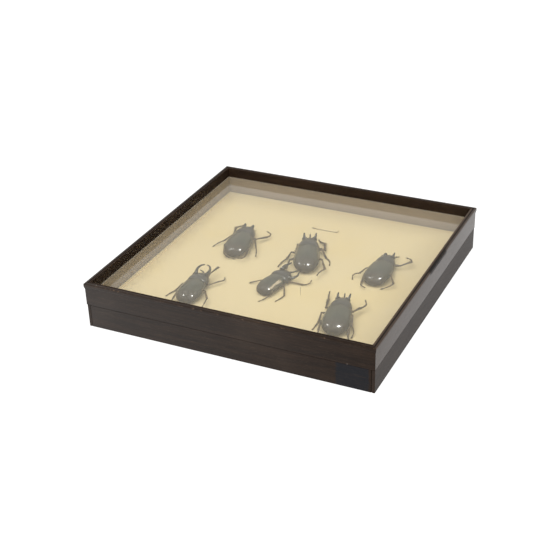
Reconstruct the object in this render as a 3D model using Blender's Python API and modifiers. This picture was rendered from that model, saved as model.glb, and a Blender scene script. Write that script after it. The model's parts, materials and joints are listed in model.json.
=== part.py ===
"""Framed beetle collection: six horned beetles in a flat square box with a glazed lift-off lid.

Units are metres, +Z is up, the case rests on z = 0 and its middle is at x = y = 0.
The near side of the case faces -Y.
"""
import math

import bmesh
import bpy
from mathutils import Matrix, Vector

MM = 0.001

# Driving dimensions of the case
CASE_SIDE = 400 * MM
CASE_HEIGHT = 64.0 * MM
BASE_HEIGHT = 32.2 * MM
FIT_GAP = 0.3 * MM

# Base tray
BASE_INSET = 1.4 * MM
BASE_BOARD = 4.2 * MM
BOTTOM_PANEL = 4.0 * MM
BOARD_EDGE_ROUND = 0.5 * MM

# Lid rail: widths are measured inward from the lip, depths down from the top
LIP_PROUD = 1.0 * MM
LIP_HEIGHT = 5.0 * MM
LIP_ROUND = 2.0 * MM
LIP_ARC_STEPS = 3
RAIL_TOP_WIDTH = 3.8 * MM
RAIL_LOW_WIDTH = 5.6 * MM
LEDGE_DEPTH = 16.3 * MM

# Glass and the beads on it
GLASS_THICK = 2.0 * MM
BEAD_WIDTH = 3.0 * MM
BEAD_DROP = 0.1 * MM
BEAD_CHAMFER = 0.8 * MM

# Inner walls, pad and paper
SLEEVE_THICK = 2.3 * MM
PAD_TOP = 20.1 * MM
PAPER_THICK = 0.6 * MM
PAPER_TURN_UP = 1.0 * MM
PAPER_LEFT_TURN_UP = 3.1 * MM
PAPER_FAR_RISE = 2.0 * MM
PAPER_FAR_SLOPE = 10 * MM

# Label slip and setting pin
LABEL_SIZE = (39.7 * MM, 8.1 * MM, 0.5 * MM)
LABEL_PLACE = (-3.7 * MM, 130.3 * MM)
PIN_RADIUS = 0.35 * MM
PIN_SIDES = 8
PIN_HEIGHT = 13 * MM
PIN_PLACE = (40.3 * MM, -57.6 * MM)

LID_BOTTOM = BASE_HEIGHT + FIT_GAP
PAPER_TOP = PAD_TOP + FIT_GAP + PAPER_THICK
SLEEVE_OUTER = CASE_SIDE / 2 - RAIL_LOW_WIDTH - FIT_GAP
SLEEVE_INNER = SLEEVE_OUTER - SLEEVE_THICK
SLEEVE_TOP = CASE_HEIGHT - LEDGE_DEPTH
GLASS_BOTTOM = SLEEVE_TOP + FIT_GAP
GLASS_TOP = GLASS_BOTTOM + GLASS_THICK

# Beetle form, as shares of the body length from the rear to the front of the pronotum. Droop is how far
# the middle height falls toward the rear. A grid is the number of faces around and along.
ELYTRA = {"middle": -0.145, "reach": 0.355, "width": 0.226, "waist": 0.105, "top": 0.150,
          "belly": 0.07, "droop": 0.055, "front_fullness": 0.30, "taper": 0.07, "grid": (18, 10)}
PRONOTUM = {"middle": 0.305, "reach": 0.195, "width": 0.168, "waist": 0.11, "top": 0.125,
            "belly": 0.06, "droop": 0, "fullness": 0.50, "front_fullness": 0.50, "taper": 0.38, "grid": (14, 8)}
NECK_AHEAD = 0.10
HEAD = {"middle": 0.45, "reach": 0.085, "width": 0.065, "waist": 0.10, "top": 0.045,
        "belly": 0.04, "droop": 0, "fullness": 0.8, "front_fullness": 0.8, "taper": 0.1, "grid": (8, 6)}

# Legs: hip places, bone lengths and radii, as shares of the body length
HIPS = {"fore": (0.075, 0.22, 0.10), "mid": (0.09, 0.06, 0.09), "hind": (0.10, -0.06, 0.09)}
BONES = {"fore": (0.20, 0.23, 0.24), "mid": (0.21, 0.22, 0.24), "hind": (0.22, 0.23, 0.24)}
LEG_RADII = {"fore": (0.025, 0.019, 0.019, 0.014), "mid": (0.022, 0.015, 0.015, 0.012),
             "hind": (0.024, 0.016, 0.016, 0.012)}
TARSUS_JOINTS = 3
TARSUS_LEFT = {4: 3, 3: 1, 2: 0}
WELD = 0.001 * MM

# Horns from base to tip, right side: place and radius, as shares of the body length
HORNS = {
    "stub": ((0.070, 0.37, 0.175, 0.034), (0.082, 0.43, 0.195, 0.027), (0.088, 0.478, 0.210, 0.019)),
    "knob": ((0.066, 0.37, 0.175, 0.036), (0.074, 0.425, 0.193, 0.030), (0.080, 0.465, 0.206, 0.021)),
    "lump": ((0.055, 0.36, 0.165, 0.045), (0.056, 0.41, 0.185, 0.037), (0.054, 0.445, 0.200, 0.026)),
    "peg": ((0.084, 0.38, 0.175, 0.032), (0.093, 0.44, 0.192, 0.022), (0.094, 0.500, 0.214, 0.012)),
    "short": ((0.080, 0.40, 0.175, 0.030), (0.097, 0.47, 0.185, 0.020), (0.100, 0.545, 0.206, 0.013)),
    "straight": ((0.080, 0.42, 0.165, 0.030), (0.095, 0.51, 0.178, 0.020), (0.099, 0.585, 0.192, 0.013)),
    "pincer": ((0.105, 0.36, 0.185, 0.032), (0.128, 0.50, 0.225, 0.024), (0.085, 0.59, 0.252, 0.017),
               (0.018, 0.625, 0.260, 0.010)),
    "swept_high": ((0.095, 0.38, 0.190, 0.044), (0.110, 0.50, 0.225, 0.034), (0.088, 0.60, 0.238, 0.024),
                   (0.067, 0.70, 0.238, 0.013)),
    "swept_low": ((0.120, 0.28, 0.170, 0.038), (0.225, 0.32, 0.175, 0.031), (0.278, 0.43, 0.210, 0.024),
                  (0.262, 0.52, 0.255, 0.013)),
}
HEAD_HORNS = {
    "stub": ((0.0, 0.46, 0.11, 0.022), (0.0, 0.49, 0.13, 0.014), (0.0, 0.51, 0.15, 0.009)),
    "short": ((0.0, 0.46, 0.11, 0.022), (0.0, 0.53, 0.14, 0.014), (-0.002, 0.585, 0.178, 0.010)),
    "skew": ((0.0, 0.47, 0.11, 0.022), (-0.02, 0.52, 0.150, 0.014), (-0.095, 0.535, 0.180, 0.009)),
    "swept": ((0.0, 0.44, 0.13, 0.026), (0.120, 0.46, 0.20, 0.021), (0.190, 0.500, 0.245, 0.016),
              (0.250, 0.540, 0.275, 0.010)),
}

# Each specimen: place of its middle in millimetres, heading and roll in degrees, length in millimetres,
# the turn of the pronotum on the elytra, breadth of elytra and pronotum against the common form, how
# full the elytra's ends are, its left, right and head horn, and how long its fore, mid and hind legs are.
# A leg is four bearings in degrees from straight ahead, outward positive (femur, tibia, tarsus, claw),
# and the heights in millimetres of knee, ankle and claw over the paper. A pose of three bearings has lost
# most of its tarsus, and one of two has lost all of it.
BEETLES = {
    "beetle_upper_left": {
        "place": (-95.9, 38.9), "heading": 9.9, "roll": 0, "neck": -6, "length": 78, "girth": (1.03, 1.02),
        "fullness": 0.70, "horns": ("stub", "knob", "stub"), "reach": (1.0, 1.0, 1.05),
        "legs": {"fore_left": (55, 5, -25, -10, 5, 6, 1), "fore_right": (118, 37, 77, -86, 8, 5, 7),
                 "mid_left": (45, 160, 112, 150, 7, 6, 1), "mid_right": (110, 160, 155, 175, 13, 10, 4),
                 "hind_left": (144, 196, 206, 305, 10, 6, 1), "hind_right": (145, 175, 160, 335, 10, 9, 4)}},
    "beetle_upper_middle": {
        "place": (9.1, 36), "heading": 19, "roll": 0, "neck": 0, "length": 85.8, "girth": (0.91, 0.93),
        "fullness": 0.70, "horns": ("straight", "straight", "short"), "reach": (1.0, 1.0, 1.0),
        "legs": {"fore_left": (36, 181, 190, 200, 7, 6, 4), "fore_right": (82, -6, -49, -7, 5, 5, 1),
                 "mid_left": (65, 166, 132, 167, 5, 4, 1), "mid_right": (35, 155, 135, 190, 8, 2, 1),
                 "hind_left": (130, 170, 9, 5), "hind_right": (135, 165, 225, 190, 11, 7, 7)}},
    "beetle_right": {
        "place": (118.1, 35.7), "heading": 1, "roll": 0, "neck": 2, "length": 74.9, "girth": (1.05, 0.98),
        "fullness": 0.70, "horns": ("lump", "peg", "stub"), "reach": (1.0, 1.0, 1.0),
        "legs": {"fore_left": (0, -30, -60, 6, 4, 4), "fore_right": (67, 47, -12, -70, 6, 9, 6),
                 "mid_left": (114, 169, 56, 230, 7, 7, 1), "mid_right": (175, -10, -20, -30, 6, 4, 2),
                 "hind_left": (138, 189, 178, 252, 5, 3, 4), "hind_right": (134, 149, 218, 257, 11, 7, 1)}},
    "beetle_lower_left": {
        "place": (-94.6, -102.5), "heading": 7, "roll": 0, "neck": -2, "length": 70.6, "girth": (1.03, 1.13),
        "fullness": 0.70, "horns": ("pincer", "pincer", "skew"), "reach": (1.3, 1.0, 1.0),
        "legs": {"fore_left": (25, 190, 200, 210, 9, 7, 5), "fore_right": (21, 10, 13, 12),
                 "mid_left": (70, 165, 145, 165, 5, 2, 1), "mid_right": (41, 38, 57, -39, 5, 5, 3),
                 "hind_left": (145, 180, 180, 190, 9, 7, 5), "hind_right": (115, 150, 180, 182, 12, 8, 5)}},
    "beetle_centre": {
        "place": (-1.7, -47.6), "heading": -11, "roll": 12, "neck": 0, "length": 61.8, "girth": (0.95, 1.22),
        "fullness": 0.60, "horns": ("swept_high", "swept_low", "swept"), "reach": (1.05, 1.15, 1.05),
        "legs": {"fore_left": (20, 175, 190, 190, 8, 5, 3), "fore_right": (72, 72, 82, -33, 3, 1, 4),
                 "mid_left": (175, -10, -20, -30, 6, 4, 2), "mid_right": (120, 145, 180, 195, 6, 2, 1),
                 "hind_left": (92, 128, 5, 2), "hind_right": (150, 185, 190, 210, 6, 3, 1)}},
    "beetle_lower_right": {
        "place": (110.4, -97.2), "heading": 13.2, "roll": 0, "neck": -2, "length": 79.3, "girth": (1.02, 0.98),
        "fullness": 0.70, "horns": ("short", "short", "short"), "reach": (1.0, 1.0, 1.0),
        "legs": {"fore_left": (66, -1, 11, -1, 4, 5, 6), "fore_right": (131, 20, 79, -40, 11, 7, 10),
                 "mid_left": (76, 178, 169, 164, 5, 2, 1), "mid_right": (130, 175, 140, 205, 13, 8, 1),
                 "hind_left": (140, 180, 185, 185, 9, 7, 7), "hind_right": (145, 180, 170, 165, 10, 4, 7)}},
}


def clear_scene():
    for obj in list(bpy.data.objects):
        bpy.data.objects.remove(obj, do_unlink=True)


def make_collection(name):
    collection = bpy.data.collections.new(name)
    bpy.context.scene.collection.children.link(collection)
    return collection


def make_material(name, colour, roughness, metallic=0.0, transmission=0.0):
    material = bpy.data.materials.new(name)
    material.use_nodes = True
    shader = material.node_tree.nodes["Principled BSDF"]
    shader.inputs["Base Color"].default_value = (*colour, 1.0)
    shader.inputs["Roughness"].default_value = roughness
    shader.inputs["Metallic"].default_value = metallic
    shader.inputs["Transmission Weight"].default_value = transmission
    return material


def place_object(name, mesh, collection, material):
    obj = bpy.data.objects.new(name, mesh)
    obj.data.materials.clear()
    obj.data.materials.append(material)
    collection.objects.link(obj)
    return obj


def mesh_from(bm, name):
    bmesh.ops.recalc_face_normals(bm, faces=bm.faces)
    mesh = bpy.data.meshes.new(name)
    bm.to_mesh(mesh)
    bm.free()
    return mesh


def slab(name, low, high, collection, material, edge_round=0.0):
    """A board or sheet between two opposite corners, with its edges eased."""
    low, high = Vector(low), Vector(high)
    bm = bmesh.new()
    bmesh.ops.create_cube(bm, size=1.0)
    bmesh.ops.scale(bm, vec=high - low, verts=bm.verts)
    obj = place_object(name, mesh_from(bm, name), collection, material)
    obj.location = (low + high) / 2
    if edge_round > 0:
        bevel = obj.modifiers.new("eased_edges", "BEVEL")
        bevel.width = edge_round
        bevel.segments = 1
    return obj


def mitred_strip(name, profile, turn, collection, material):
    """A strip along one side of the case, cut at 45 degrees where it meets its neighbours.

    The profile holds (distance inward from the lip, height) points. Turn counts the quarter
    turns from the near side.
    """
    bm = bmesh.new()
    half = CASE_SIDE / 2
    start = bm.faces.new([bm.verts.new((-1.0, -half + inward, height)) for inward, height in profile])
    swept = bmesh.ops.extrude_face_region(bm, geom=[start])
    for item in swept["geom"]:
        if isinstance(item, bmesh.types.BMVert):
            item.co.x = 1.0
    for vert in bm.verts:
        vert.co.x *= -vert.co.y - FIT_GAP / 2
    obj = place_object(name, mesh_from(bm, name), collection, material)
    obj.rotation_euler.z = math.radians(90 * turn)


SIDES = (("front", 0), ("right", 1), ("back", 2), ("left", 3))


def make_base(collection, wood):
    """Tray of four butted boards: the side boards run the full depth, so their ends show in front."""
    outer = CASE_SIDE / 2 - BASE_INSET
    inner = outer - BASE_BOARD
    between = inner - FIT_GAP
    for name, sign in (("base_left_board", -1), ("base_right_board", 1)):
        low_x, high_x = sorted((sign * inner, sign * outer))
        slab(name, (low_x, -outer, 0), (high_x, outer, BASE_HEIGHT), collection, wood, BOARD_EDGE_ROUND)
    for name, sign in (("base_front_board", -1), ("base_back_board", 1)):
        low_y, high_y = sorted((sign * inner, sign * outer))
        slab(name, (-between, low_y, 0), (between, high_y, BASE_HEIGHT), collection, wood, BOARD_EDGE_ROUND)
    slab("base_bottom_panel", (-between, -between, 0), (between, between, BOTTOM_PANEL), collection, wood)


def make_inner_walls(collection, lining):
    """Thin boards that stand inside the tray and reach up to the glass."""
    low = BOTTOM_PANEL + FIT_GAP
    between = SLEEVE_INNER - FIT_GAP
    for name, sign in (("inner_wall_left", -1), ("inner_wall_right", 1)):
        low_x, high_x = sorted((sign * SLEEVE_INNER, sign * SLEEVE_OUTER))
        slab(name, (low_x, -SLEEVE_OUTER, low), (high_x, SLEEVE_OUTER, SLEEVE_TOP), collection, lining)
    for name, sign in (("inner_wall_front", -1), ("inner_wall_back", 1)):
        low_y, high_y = sorted((sign * SLEEVE_INNER, sign * SLEEVE_OUTER))
        slab(name, (-between, low_y, low), (between, high_y, SLEEVE_TOP), collection, lining)


def make_floor(collection, pad_material, paper):
    """Pinning pad, and the paper over it, turned up along three walls and sloping up to the far one."""
    half = SLEEVE_INNER - FIT_GAP
    low = BOTTOM_PANEL + FIT_GAP
    slab("pinning_pad", (-half, -half, low), (half, half, PAD_TOP), collection, pad_material)
    edge, foot = half - PAPER_THICK, half - 2 * PAPER_THICK
    across = ((-half, PAPER_LEFT_TURN_UP), (-edge, PAPER_LEFT_TURN_UP), (-foot, 0), (foot, 0),
              (edge, PAPER_TURN_UP), (half, PAPER_TURN_UP))
    along = ((-half, PAPER_TURN_UP), (-edge, PAPER_TURN_UP), (-foot, 0), (half - PAPER_FAR_SLOPE, 0))
    bm = bmesh.new()
    rows = [[bm.verts.new((x, y, PAPER_TOP + max(rise_x, rise_y))) for x, rise_x in across]
            for y, rise_y in along]
    far_rises = [max(rise_x, PAPER_FAR_RISE * (half - x) / (2 * half)) for x, rise_x in across]
    rows.append([bm.verts.new((x, half, PAPER_TOP + rise)) for (x, _), rise in zip(across, far_rises)])
    top = [bm.faces.new((near[i], near[i + 1], far[i + 1], far[i]))
           for near, far in zip(rows, rows[1:]) for i in range(len(across) - 1)]
    lower = bmesh.ops.extrude_face_region(bm, geom=top)
    for item in lower["geom"]:
        if isinstance(item, bmesh.types.BMVert):
            item.co.z = PAPER_TOP - PAPER_THICK
    place_object("floor_paper", mesh_from(bm, "floor_paper"), collection, paper)


def rail_profile():
    """Lid rail in section: rounded lip, and a rebate whose ledge carries the glass."""
    top = CASE_HEIGHT
    ledge_top = top - LEDGE_DEPTH
    points = [(LIP_PROUD, LID_BOTTOM), (LIP_PROUD, top - LIP_HEIGHT - LIP_PROUD), (0, top - LIP_HEIGHT)]
    for step in range(LIP_ARC_STEPS + 1):
        angle = math.radians(180 - 90 * step / LIP_ARC_STEPS)
        points.append((LIP_ROUND + LIP_ROUND * math.cos(angle), top - LIP_ROUND + LIP_ROUND * math.sin(angle)))
    points += [(RAIL_TOP_WIDTH, top), (RAIL_TOP_WIDTH, ledge_top), (RAIL_LOW_WIDTH, ledge_top),
               (RAIL_LOW_WIDTH, LID_BOTTOM)]
    return points


def bead_profile():
    """Glazing bead in section, chamfered where it meets the rail."""
    outer = RAIL_TOP_WIDTH + FIT_GAP
    inner = outer + BEAD_WIDTH
    low, high = GLASS_TOP + FIT_GAP, CASE_HEIGHT - BEAD_DROP
    return [(outer, low), (outer, high - BEAD_CHAMFER), (outer + BEAD_CHAMFER, high),
            (inner - BEAD_CHAMFER / 2, high), (inner, high - BEAD_CHAMFER / 2), (inner, low)]


def make_lid(collection, wood, bead_wood, glass):
    """Mitred rails, the pane on their ledge, and the beads that hold it down."""
    for side, turn in SIDES:
        mitred_strip("lid_rail_" + side, rail_profile(), turn, collection, wood)
        mitred_strip("glazing_bead_" + side, bead_profile(), turn, collection, bead_wood)
    half = CASE_SIDE / 2 - RAIL_TOP_WIDTH - FIT_GAP
    slab("glass_pane", (-half, -half, GLASS_BOTTOM), (half, half, GLASS_TOP), collection, glass)


def make_label(collection, paper):
    x, y = LABEL_PLACE
    width, depth, thick = LABEL_SIZE
    low = PAPER_TOP + FIT_GAP
    slab("label_slip", (x - width / 2, y - depth / 2, low), (x + width / 2, y + depth / 2, low + thick),
         collection, paper)


def make_setting_pin(collection, steel):
    bm = bmesh.new()
    bmesh.ops.create_cone(bm, cap_ends=True, segments=PIN_SIDES, radius1=PIN_RADIUS, radius2=PIN_RADIUS,
                          depth=PIN_HEIGHT)
    obj = place_object("setting_pin", mesh_from(bm, "setting_pin"), collection, steel)
    obj.location = (*PIN_PLACE, PAPER_TOP + FIT_GAP + PIN_HEIGHT / 2)


def rounded_form(form, length, breadth):
    """A beetle's elytra, pronotum or head: a sphere whose poles lie fore and aft, shaped by its shares."""
    around, along = form["grid"]
    bm = bmesh.new()
    bmesh.ops.create_uvsphere(bm, u_segments=around, v_segments=along, radius=1.0)
    for vert in bm.verts:
        ring_x, ring_z, ahead = vert.co
        ring = math.hypot(ring_x, ring_z)
        fullness = form["front_fullness"] if ahead > 0 else form["fullness"]
        swell = ring ** fullness * (1 - form["taper"] * ahead) / max(ring, 1e-6)
        height = form["top"] if ring_z > 0 else form["belly"]
        waist = form["waist"] - form["droop"] * max(-ahead, 0.0) ** 3
        vert.co = Vector((form["width"] * breadth * ring_x * swell, form["middle"] + form["reach"] * ahead,
                          waist + height * ring_z * swell)) * length
    return mesh_from(bm, "form")


def tapered_tube(points, radii):
    """A horn or a leg: a poly line with a round section whose radius changes from point to point."""
    curve = bpy.data.curves.new("tube", "CURVE")
    curve.dimensions = "3D"
    curve.bevel_depth = 1.0
    curve.bevel_resolution = 1
    curve.use_fill_caps = True
    spline = curve.splines.new("POLY")
    spline.points.add(len(points) - 1)
    for spot, point, radius in zip(spline.points, points, radii):
        spot.co = (*point, 1.0)
        spot.radius = radius
    holder = bpy.data.objects.new("tube", curve)
    bpy.context.scene.collection.objects.link(holder)
    graph = bpy.context.evaluated_depsgraph_get()
    mesh = bpy.data.meshes.new_from_object(holder.evaluated_get(graph))
    bpy.data.objects.remove(holder, do_unlink=True)
    bpy.data.curves.remove(curve)
    bm = bmesh.new()
    bm.from_mesh(mesh)
    bmesh.ops.remove_doubles(bm, verts=bm.verts, dist=WELD)
    bpy.data.meshes.remove(mesh)
    return mesh_from(bm, "tube")


def swing(start, reach, bearing, height):
    """The end of a bone of a given reach that leaves a point at a bearing and ends at a height."""
    drop = height - start.z
    flat = math.sqrt(max(reach ** 2 - drop ** 2, 0.0))
    angle = math.radians(bearing)
    return Vector((start.x + flat * math.sin(angle), start.y + flat * math.cos(angle), height))


def leg_points(kind, side, pose, length, reach):
    """Hip, knee, ankle and tarsus joints of one leg in the beetle's own frame, clear of the paper."""
    bearings, heights = pose[:(len(pose) + 1) // 2], pose[(len(pose) + 1) // 2:]
    bones = [bone * length * reach for bone in BONES[kind]]
    lowest = [radius * length + FIT_GAP for radius in LEG_RADII[kind][1:]]
    heights = [max(height * MM, low) for height, low in zip(heights, lowest)]
    hip = Vector(HIPS[kind]) * length
    knee = swing(hip, bones[0], bearings[0], heights[0])
    ankle = swing(knee, bones[1], bearings[1], heights[1])
    points = [hip, knee, ankle]
    for joint in range(TARSUS_LEFT[len(bearings)]):
        bearing = bearings[2] + (bearings[-1] - bearings[2]) * (joint + 0.5) / TARSUS_JOINTS
        height = heights[1] + (heights[2] - heights[1]) * (joint + 1) / TARSUS_JOINTS
        points.append(swing(points[-1], bones[2] / TARSUS_JOINTS, bearing, height))
    mirror = -1 if side == "left" else 1
    return [Vector((mirror * point.x, point.y, point.z)) for point in points]


def leg_mesh(leg, pose, length, reach):
    kind, side = leg.split("_")
    femur, knee, ankle, toe = [radius * length for radius in LEG_RADII[kind]]
    points = leg_points(kind, side, pose, length, reach)
    return tapered_tube(points, [femur, knee, ankle] + [toe] * (len(points) - 3))


def horn_meshes(styles, length):
    """Left and right pronotal horn, then the horn of the head."""
    left, right, middle = styles
    meshes = []
    for horn, mirror in ((HORNS[left], -1), (HORNS[right], 1), (HEAD_HORNS[middle], 1)):
        points = [Vector((mirror * x, y, z)) * length for x, y, z, _radius in horn]
        meshes.append(tapered_tube(points, [spot[3] * length for spot in horn]))
    return meshes


def fuse(name, meshes):
    """Join overlapping closed meshes into one closed mesh."""
    scene = bpy.context.scene.collection
    whole = bpy.data.objects.new(name, meshes[0])
    scene.objects.link(whole)
    for mesh in meshes[1:]:
        other = bpy.data.objects.new("joined", mesh)
        scene.objects.link(other)
        union = whole.modifiers.new("join", "BOOLEAN")
        union.operation = "UNION"
        union.solver = "EXACT"
        union.object = other
        graph = bpy.context.evaluated_depsgraph_get()
        result = bpy.data.meshes.new_from_object(whole.evaluated_get(graph))
        whole.modifiers.clear()
        bpy.data.objects.remove(other, do_unlink=True)
        whole.data = result
    mesh = whole.data
    bpy.data.objects.remove(whole, do_unlink=True)
    return mesh


def turn_about(point, angle, axis):
    """A turn in degrees about an axis through a point."""
    shift = Matrix.Translation(point)
    return shift @ Matrix.Rotation(math.radians(angle), 4, axis) @ shift.inverted()


def make_beetle(name, spec, collection, material):
    """One specimen: elytra, pronotum, head, horns and six legs in one solid, standing on the paper."""
    length = spec["length"] * MM
    girth, shoulder = spec["girth"]
    front = [rounded_form(PRONOTUM, length, shoulder), rounded_form(HEAD, length, 1.0)]
    front += horn_meshes(spec["horns"], length)
    for mesh in front:
        mesh.transform(turn_about((0, NECK_AHEAD * length, 0), spec["neck"], "Z"))
    meshes = [rounded_form(dict(ELYTRA, fullness=spec["fullness"]), length, girth)] + front
    for mesh in meshes:
        mesh.transform(turn_about((0, 0, ELYTRA["waist"] * length), spec["roll"], "Y"))
    reaches = dict(zip(BONES, spec["reach"]))
    for leg, pose in spec["legs"].items():
        meshes.append(leg_mesh(leg, pose, length, reaches[leg.split("_")[0]]))
    mesh = fuse(name, meshes)
    mesh.shade_smooth()
    obj = place_object(name, mesh, collection, material)
    x, y = spec["place"]
    obj.location = (x * MM, y * MM, PAPER_TOP)
    obj.rotation_euler.z = math.radians(spec["heading"])


def main():
    clear_scene()
    case = make_collection("framed_beetle_collection")
    base_wood = make_material("base_wood", (0.045, 0.036, 0.031), 0.4)
    lid_wood = make_material("lid_wood", (0.045, 0.034, 0.028), 0.35)
    bead_wood = make_material("bead_wood", (0.03, 0.026, 0.023), 0.5)
    lining = make_material("wall_lining", (0.33, 0.27, 0.21), 0.8)
    pad_material = make_material("pad_board", (0.55, 0.42, 0.27), 0.9)
    paper = make_material("cream_paper", (0.80, 0.69, 0.42), 0.9)
    label_paper = make_material("label_paper", (0.78, 0.68, 0.43), 0.85)
    glass = make_material("clear_glass", (1.0, 1.0, 1.0), 0.02, transmission=1.0)
    chitin = make_material("black_chitin", (0.02, 0.022, 0.02), 0.2)
    steel = make_material("pin_steel", (0.4, 0.38, 0.35), 0.35, metallic=1.0)
    make_base(case, base_wood)
    make_inner_walls(case, lining)
    make_floor(case, pad_material, paper)
    make_label(case, label_paper)
    make_setting_pin(case, steel)
    make_lid(case, lid_wood, bead_wood, glass)
    for name, spec in BEETLES.items():
        make_beetle(name, spec, case, chitin)


main()
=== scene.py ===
"""A framed beetle collection: the looks of the glazed case, its lining and its six specimens.

Lengths are in metres, +Z is up, and the near side of the case faces -Y.
"""
import json
import math
import random

import bmesh
import bpy
from mathutils import Matrix, Vector, noise

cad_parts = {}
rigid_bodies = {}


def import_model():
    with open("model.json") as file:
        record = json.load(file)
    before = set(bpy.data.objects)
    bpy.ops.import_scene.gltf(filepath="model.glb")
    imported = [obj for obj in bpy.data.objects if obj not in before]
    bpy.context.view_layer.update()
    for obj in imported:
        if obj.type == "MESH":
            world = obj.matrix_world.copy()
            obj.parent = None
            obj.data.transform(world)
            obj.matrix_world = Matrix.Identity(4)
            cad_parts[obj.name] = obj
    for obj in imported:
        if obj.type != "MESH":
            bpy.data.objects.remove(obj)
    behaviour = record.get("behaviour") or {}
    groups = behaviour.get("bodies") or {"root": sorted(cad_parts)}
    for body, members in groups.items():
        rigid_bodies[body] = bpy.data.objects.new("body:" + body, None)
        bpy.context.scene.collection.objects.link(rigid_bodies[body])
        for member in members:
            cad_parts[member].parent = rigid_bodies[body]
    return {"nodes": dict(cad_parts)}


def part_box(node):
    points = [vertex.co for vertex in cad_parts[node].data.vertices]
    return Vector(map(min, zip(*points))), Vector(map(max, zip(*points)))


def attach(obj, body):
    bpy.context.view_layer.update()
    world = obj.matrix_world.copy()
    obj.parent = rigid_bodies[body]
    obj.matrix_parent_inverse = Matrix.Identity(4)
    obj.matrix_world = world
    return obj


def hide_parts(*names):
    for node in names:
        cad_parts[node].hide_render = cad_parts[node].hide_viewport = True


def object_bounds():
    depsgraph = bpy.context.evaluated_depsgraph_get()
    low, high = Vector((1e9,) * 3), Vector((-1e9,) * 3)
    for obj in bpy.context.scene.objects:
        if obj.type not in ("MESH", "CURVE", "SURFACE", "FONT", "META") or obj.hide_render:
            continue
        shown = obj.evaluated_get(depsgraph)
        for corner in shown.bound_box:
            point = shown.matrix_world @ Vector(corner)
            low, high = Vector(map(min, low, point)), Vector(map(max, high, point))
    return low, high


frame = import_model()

bl_info = {
    "name": "Framed beetle collection",
    "version": (1, 0, 0),
    "blender": (4, 5, 0),
    "location": "View3D > Sidebar > Insect case",
    "description": "Finishes a glazed insect case and mounts its horned beetles",
    "category": "Object",
}

MM = 0.001
BODY = "root"
CAD_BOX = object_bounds()
CASE_TOP = CAD_BOX[1].z
CASE_HALF = CAD_BOX[1].x

# Lid rail in section, as the solids have it: widths inward from the lip, depths down from the top
LIP_PROUD = 1.0 * MM
LIP_HEIGHT = 5.0 * MM
LIP_ROUND = 2.0 * MM
RAIL_TOP_WIDTH = 3.8 * MM
RAIL_LOW_WIDTH = 5.6 * MM
LEDGE_DEPTH = 16.3 * MM
MITRE_GAP = 0.15 * MM
FIT_GAP = 0.3 * MM
SIDES = (("front", 0), ("right", 1), ("back", 2), ("left", 3))

# How much lacquer coat each side has at its low and high end, and how far its stain is faded
# Painted light: the sides differ to copy how each caught the light. The coat falls away along the front
# where its reflection darkens, and the faded stain makes the right lid and the right bead lighter.
LID_SHINE = {"front": (0.60, 0.02, 0.0), "right": (0.38, 0.64, 0.30), "back": (0.60, 0.60, 0.1),
             "left": (0.60, 0.60, 0.1)}
TRAY_SHINE = {"front": (0.62, 0.02, 0.0), "right": (0.11, 0.15, 0.05), "back": (0.40, 0.40, 0.05),
              "left": (0.40, 0.40, 0.05)}
BEAD_SHINE = {"front": (0.02, 0.02, 0.0), "right": (0.45, 0.45, 0.45), "back": (0.05, 0.05, 0.1),
              "left": (0.02, 0.02, 0.1)}

# Floor paper
PAPER_THICK = 0.6 * MM
PAPER_TURN_UP = 1.0 * MM
PAPER_LEFT_TURN_UP = 3.1 * MM
PAPER_FAR_RISE = 2.0 * MM
PAPER_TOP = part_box("floor_paper")[1].z - PAPER_LEFT_TURN_UP
PAPER_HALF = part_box("floor_paper")[1].x
PAPER_SEAM = -22.2 * MM

# Beetle form, as shares of the body length from the rear to the front of the pronotum. Droop is how far
# the middle height falls toward the rear.
ELYTRA = {"middle": -0.145, "reach": 0.355, "width": 0.226, "waist": 0.105, "top": 0.150,
          "belly": 0.07, "droop": 0.055, "front_fullness": 0.30, "taper": 0.07, "rings": 80}
PRONOTUM = {"middle": 0.305, "reach": 0.195, "width": 0.168, "waist": 0.11, "top": 0.125,
            "belly": 0.06, "droop": 0, "fullness": 0.50, "front_fullness": 0.50, "taper": 0.38, "rings": 52}
NECK_AHEAD = 0.10
HEAD = {"middle": 0.45, "reach": 0.085, "width": 0.065, "waist": 0.10, "top": 0.045,
        "belly": 0.04, "droop": 0, "fullness": 0.8, "front_fullness": 0.8, "taper": 0.1, "rings": 24}

# Legs: hip places, bone lengths and radii, as shares of the body length
HIPS = {"fore": (0.075, 0.22, 0.10), "mid": (0.09, 0.06, 0.09), "hind": (0.10, -0.06, 0.09)}
BONES = {"fore": (0.20, 0.23, 0.24), "mid": (0.21, 0.22, 0.24), "hind": (0.22, 0.23, 0.24)}
LEG_RADII = {"fore": (0.025, 0.019, 0.019, 0.014), "mid": (0.022, 0.015, 0.015, 0.012),
             "hind": (0.024, 0.016, 0.016, 0.012)}
TARSUS_JOINTS = 3
TARSUS_LEFT = {4: 3, 3: 1, 2: 0}

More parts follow.
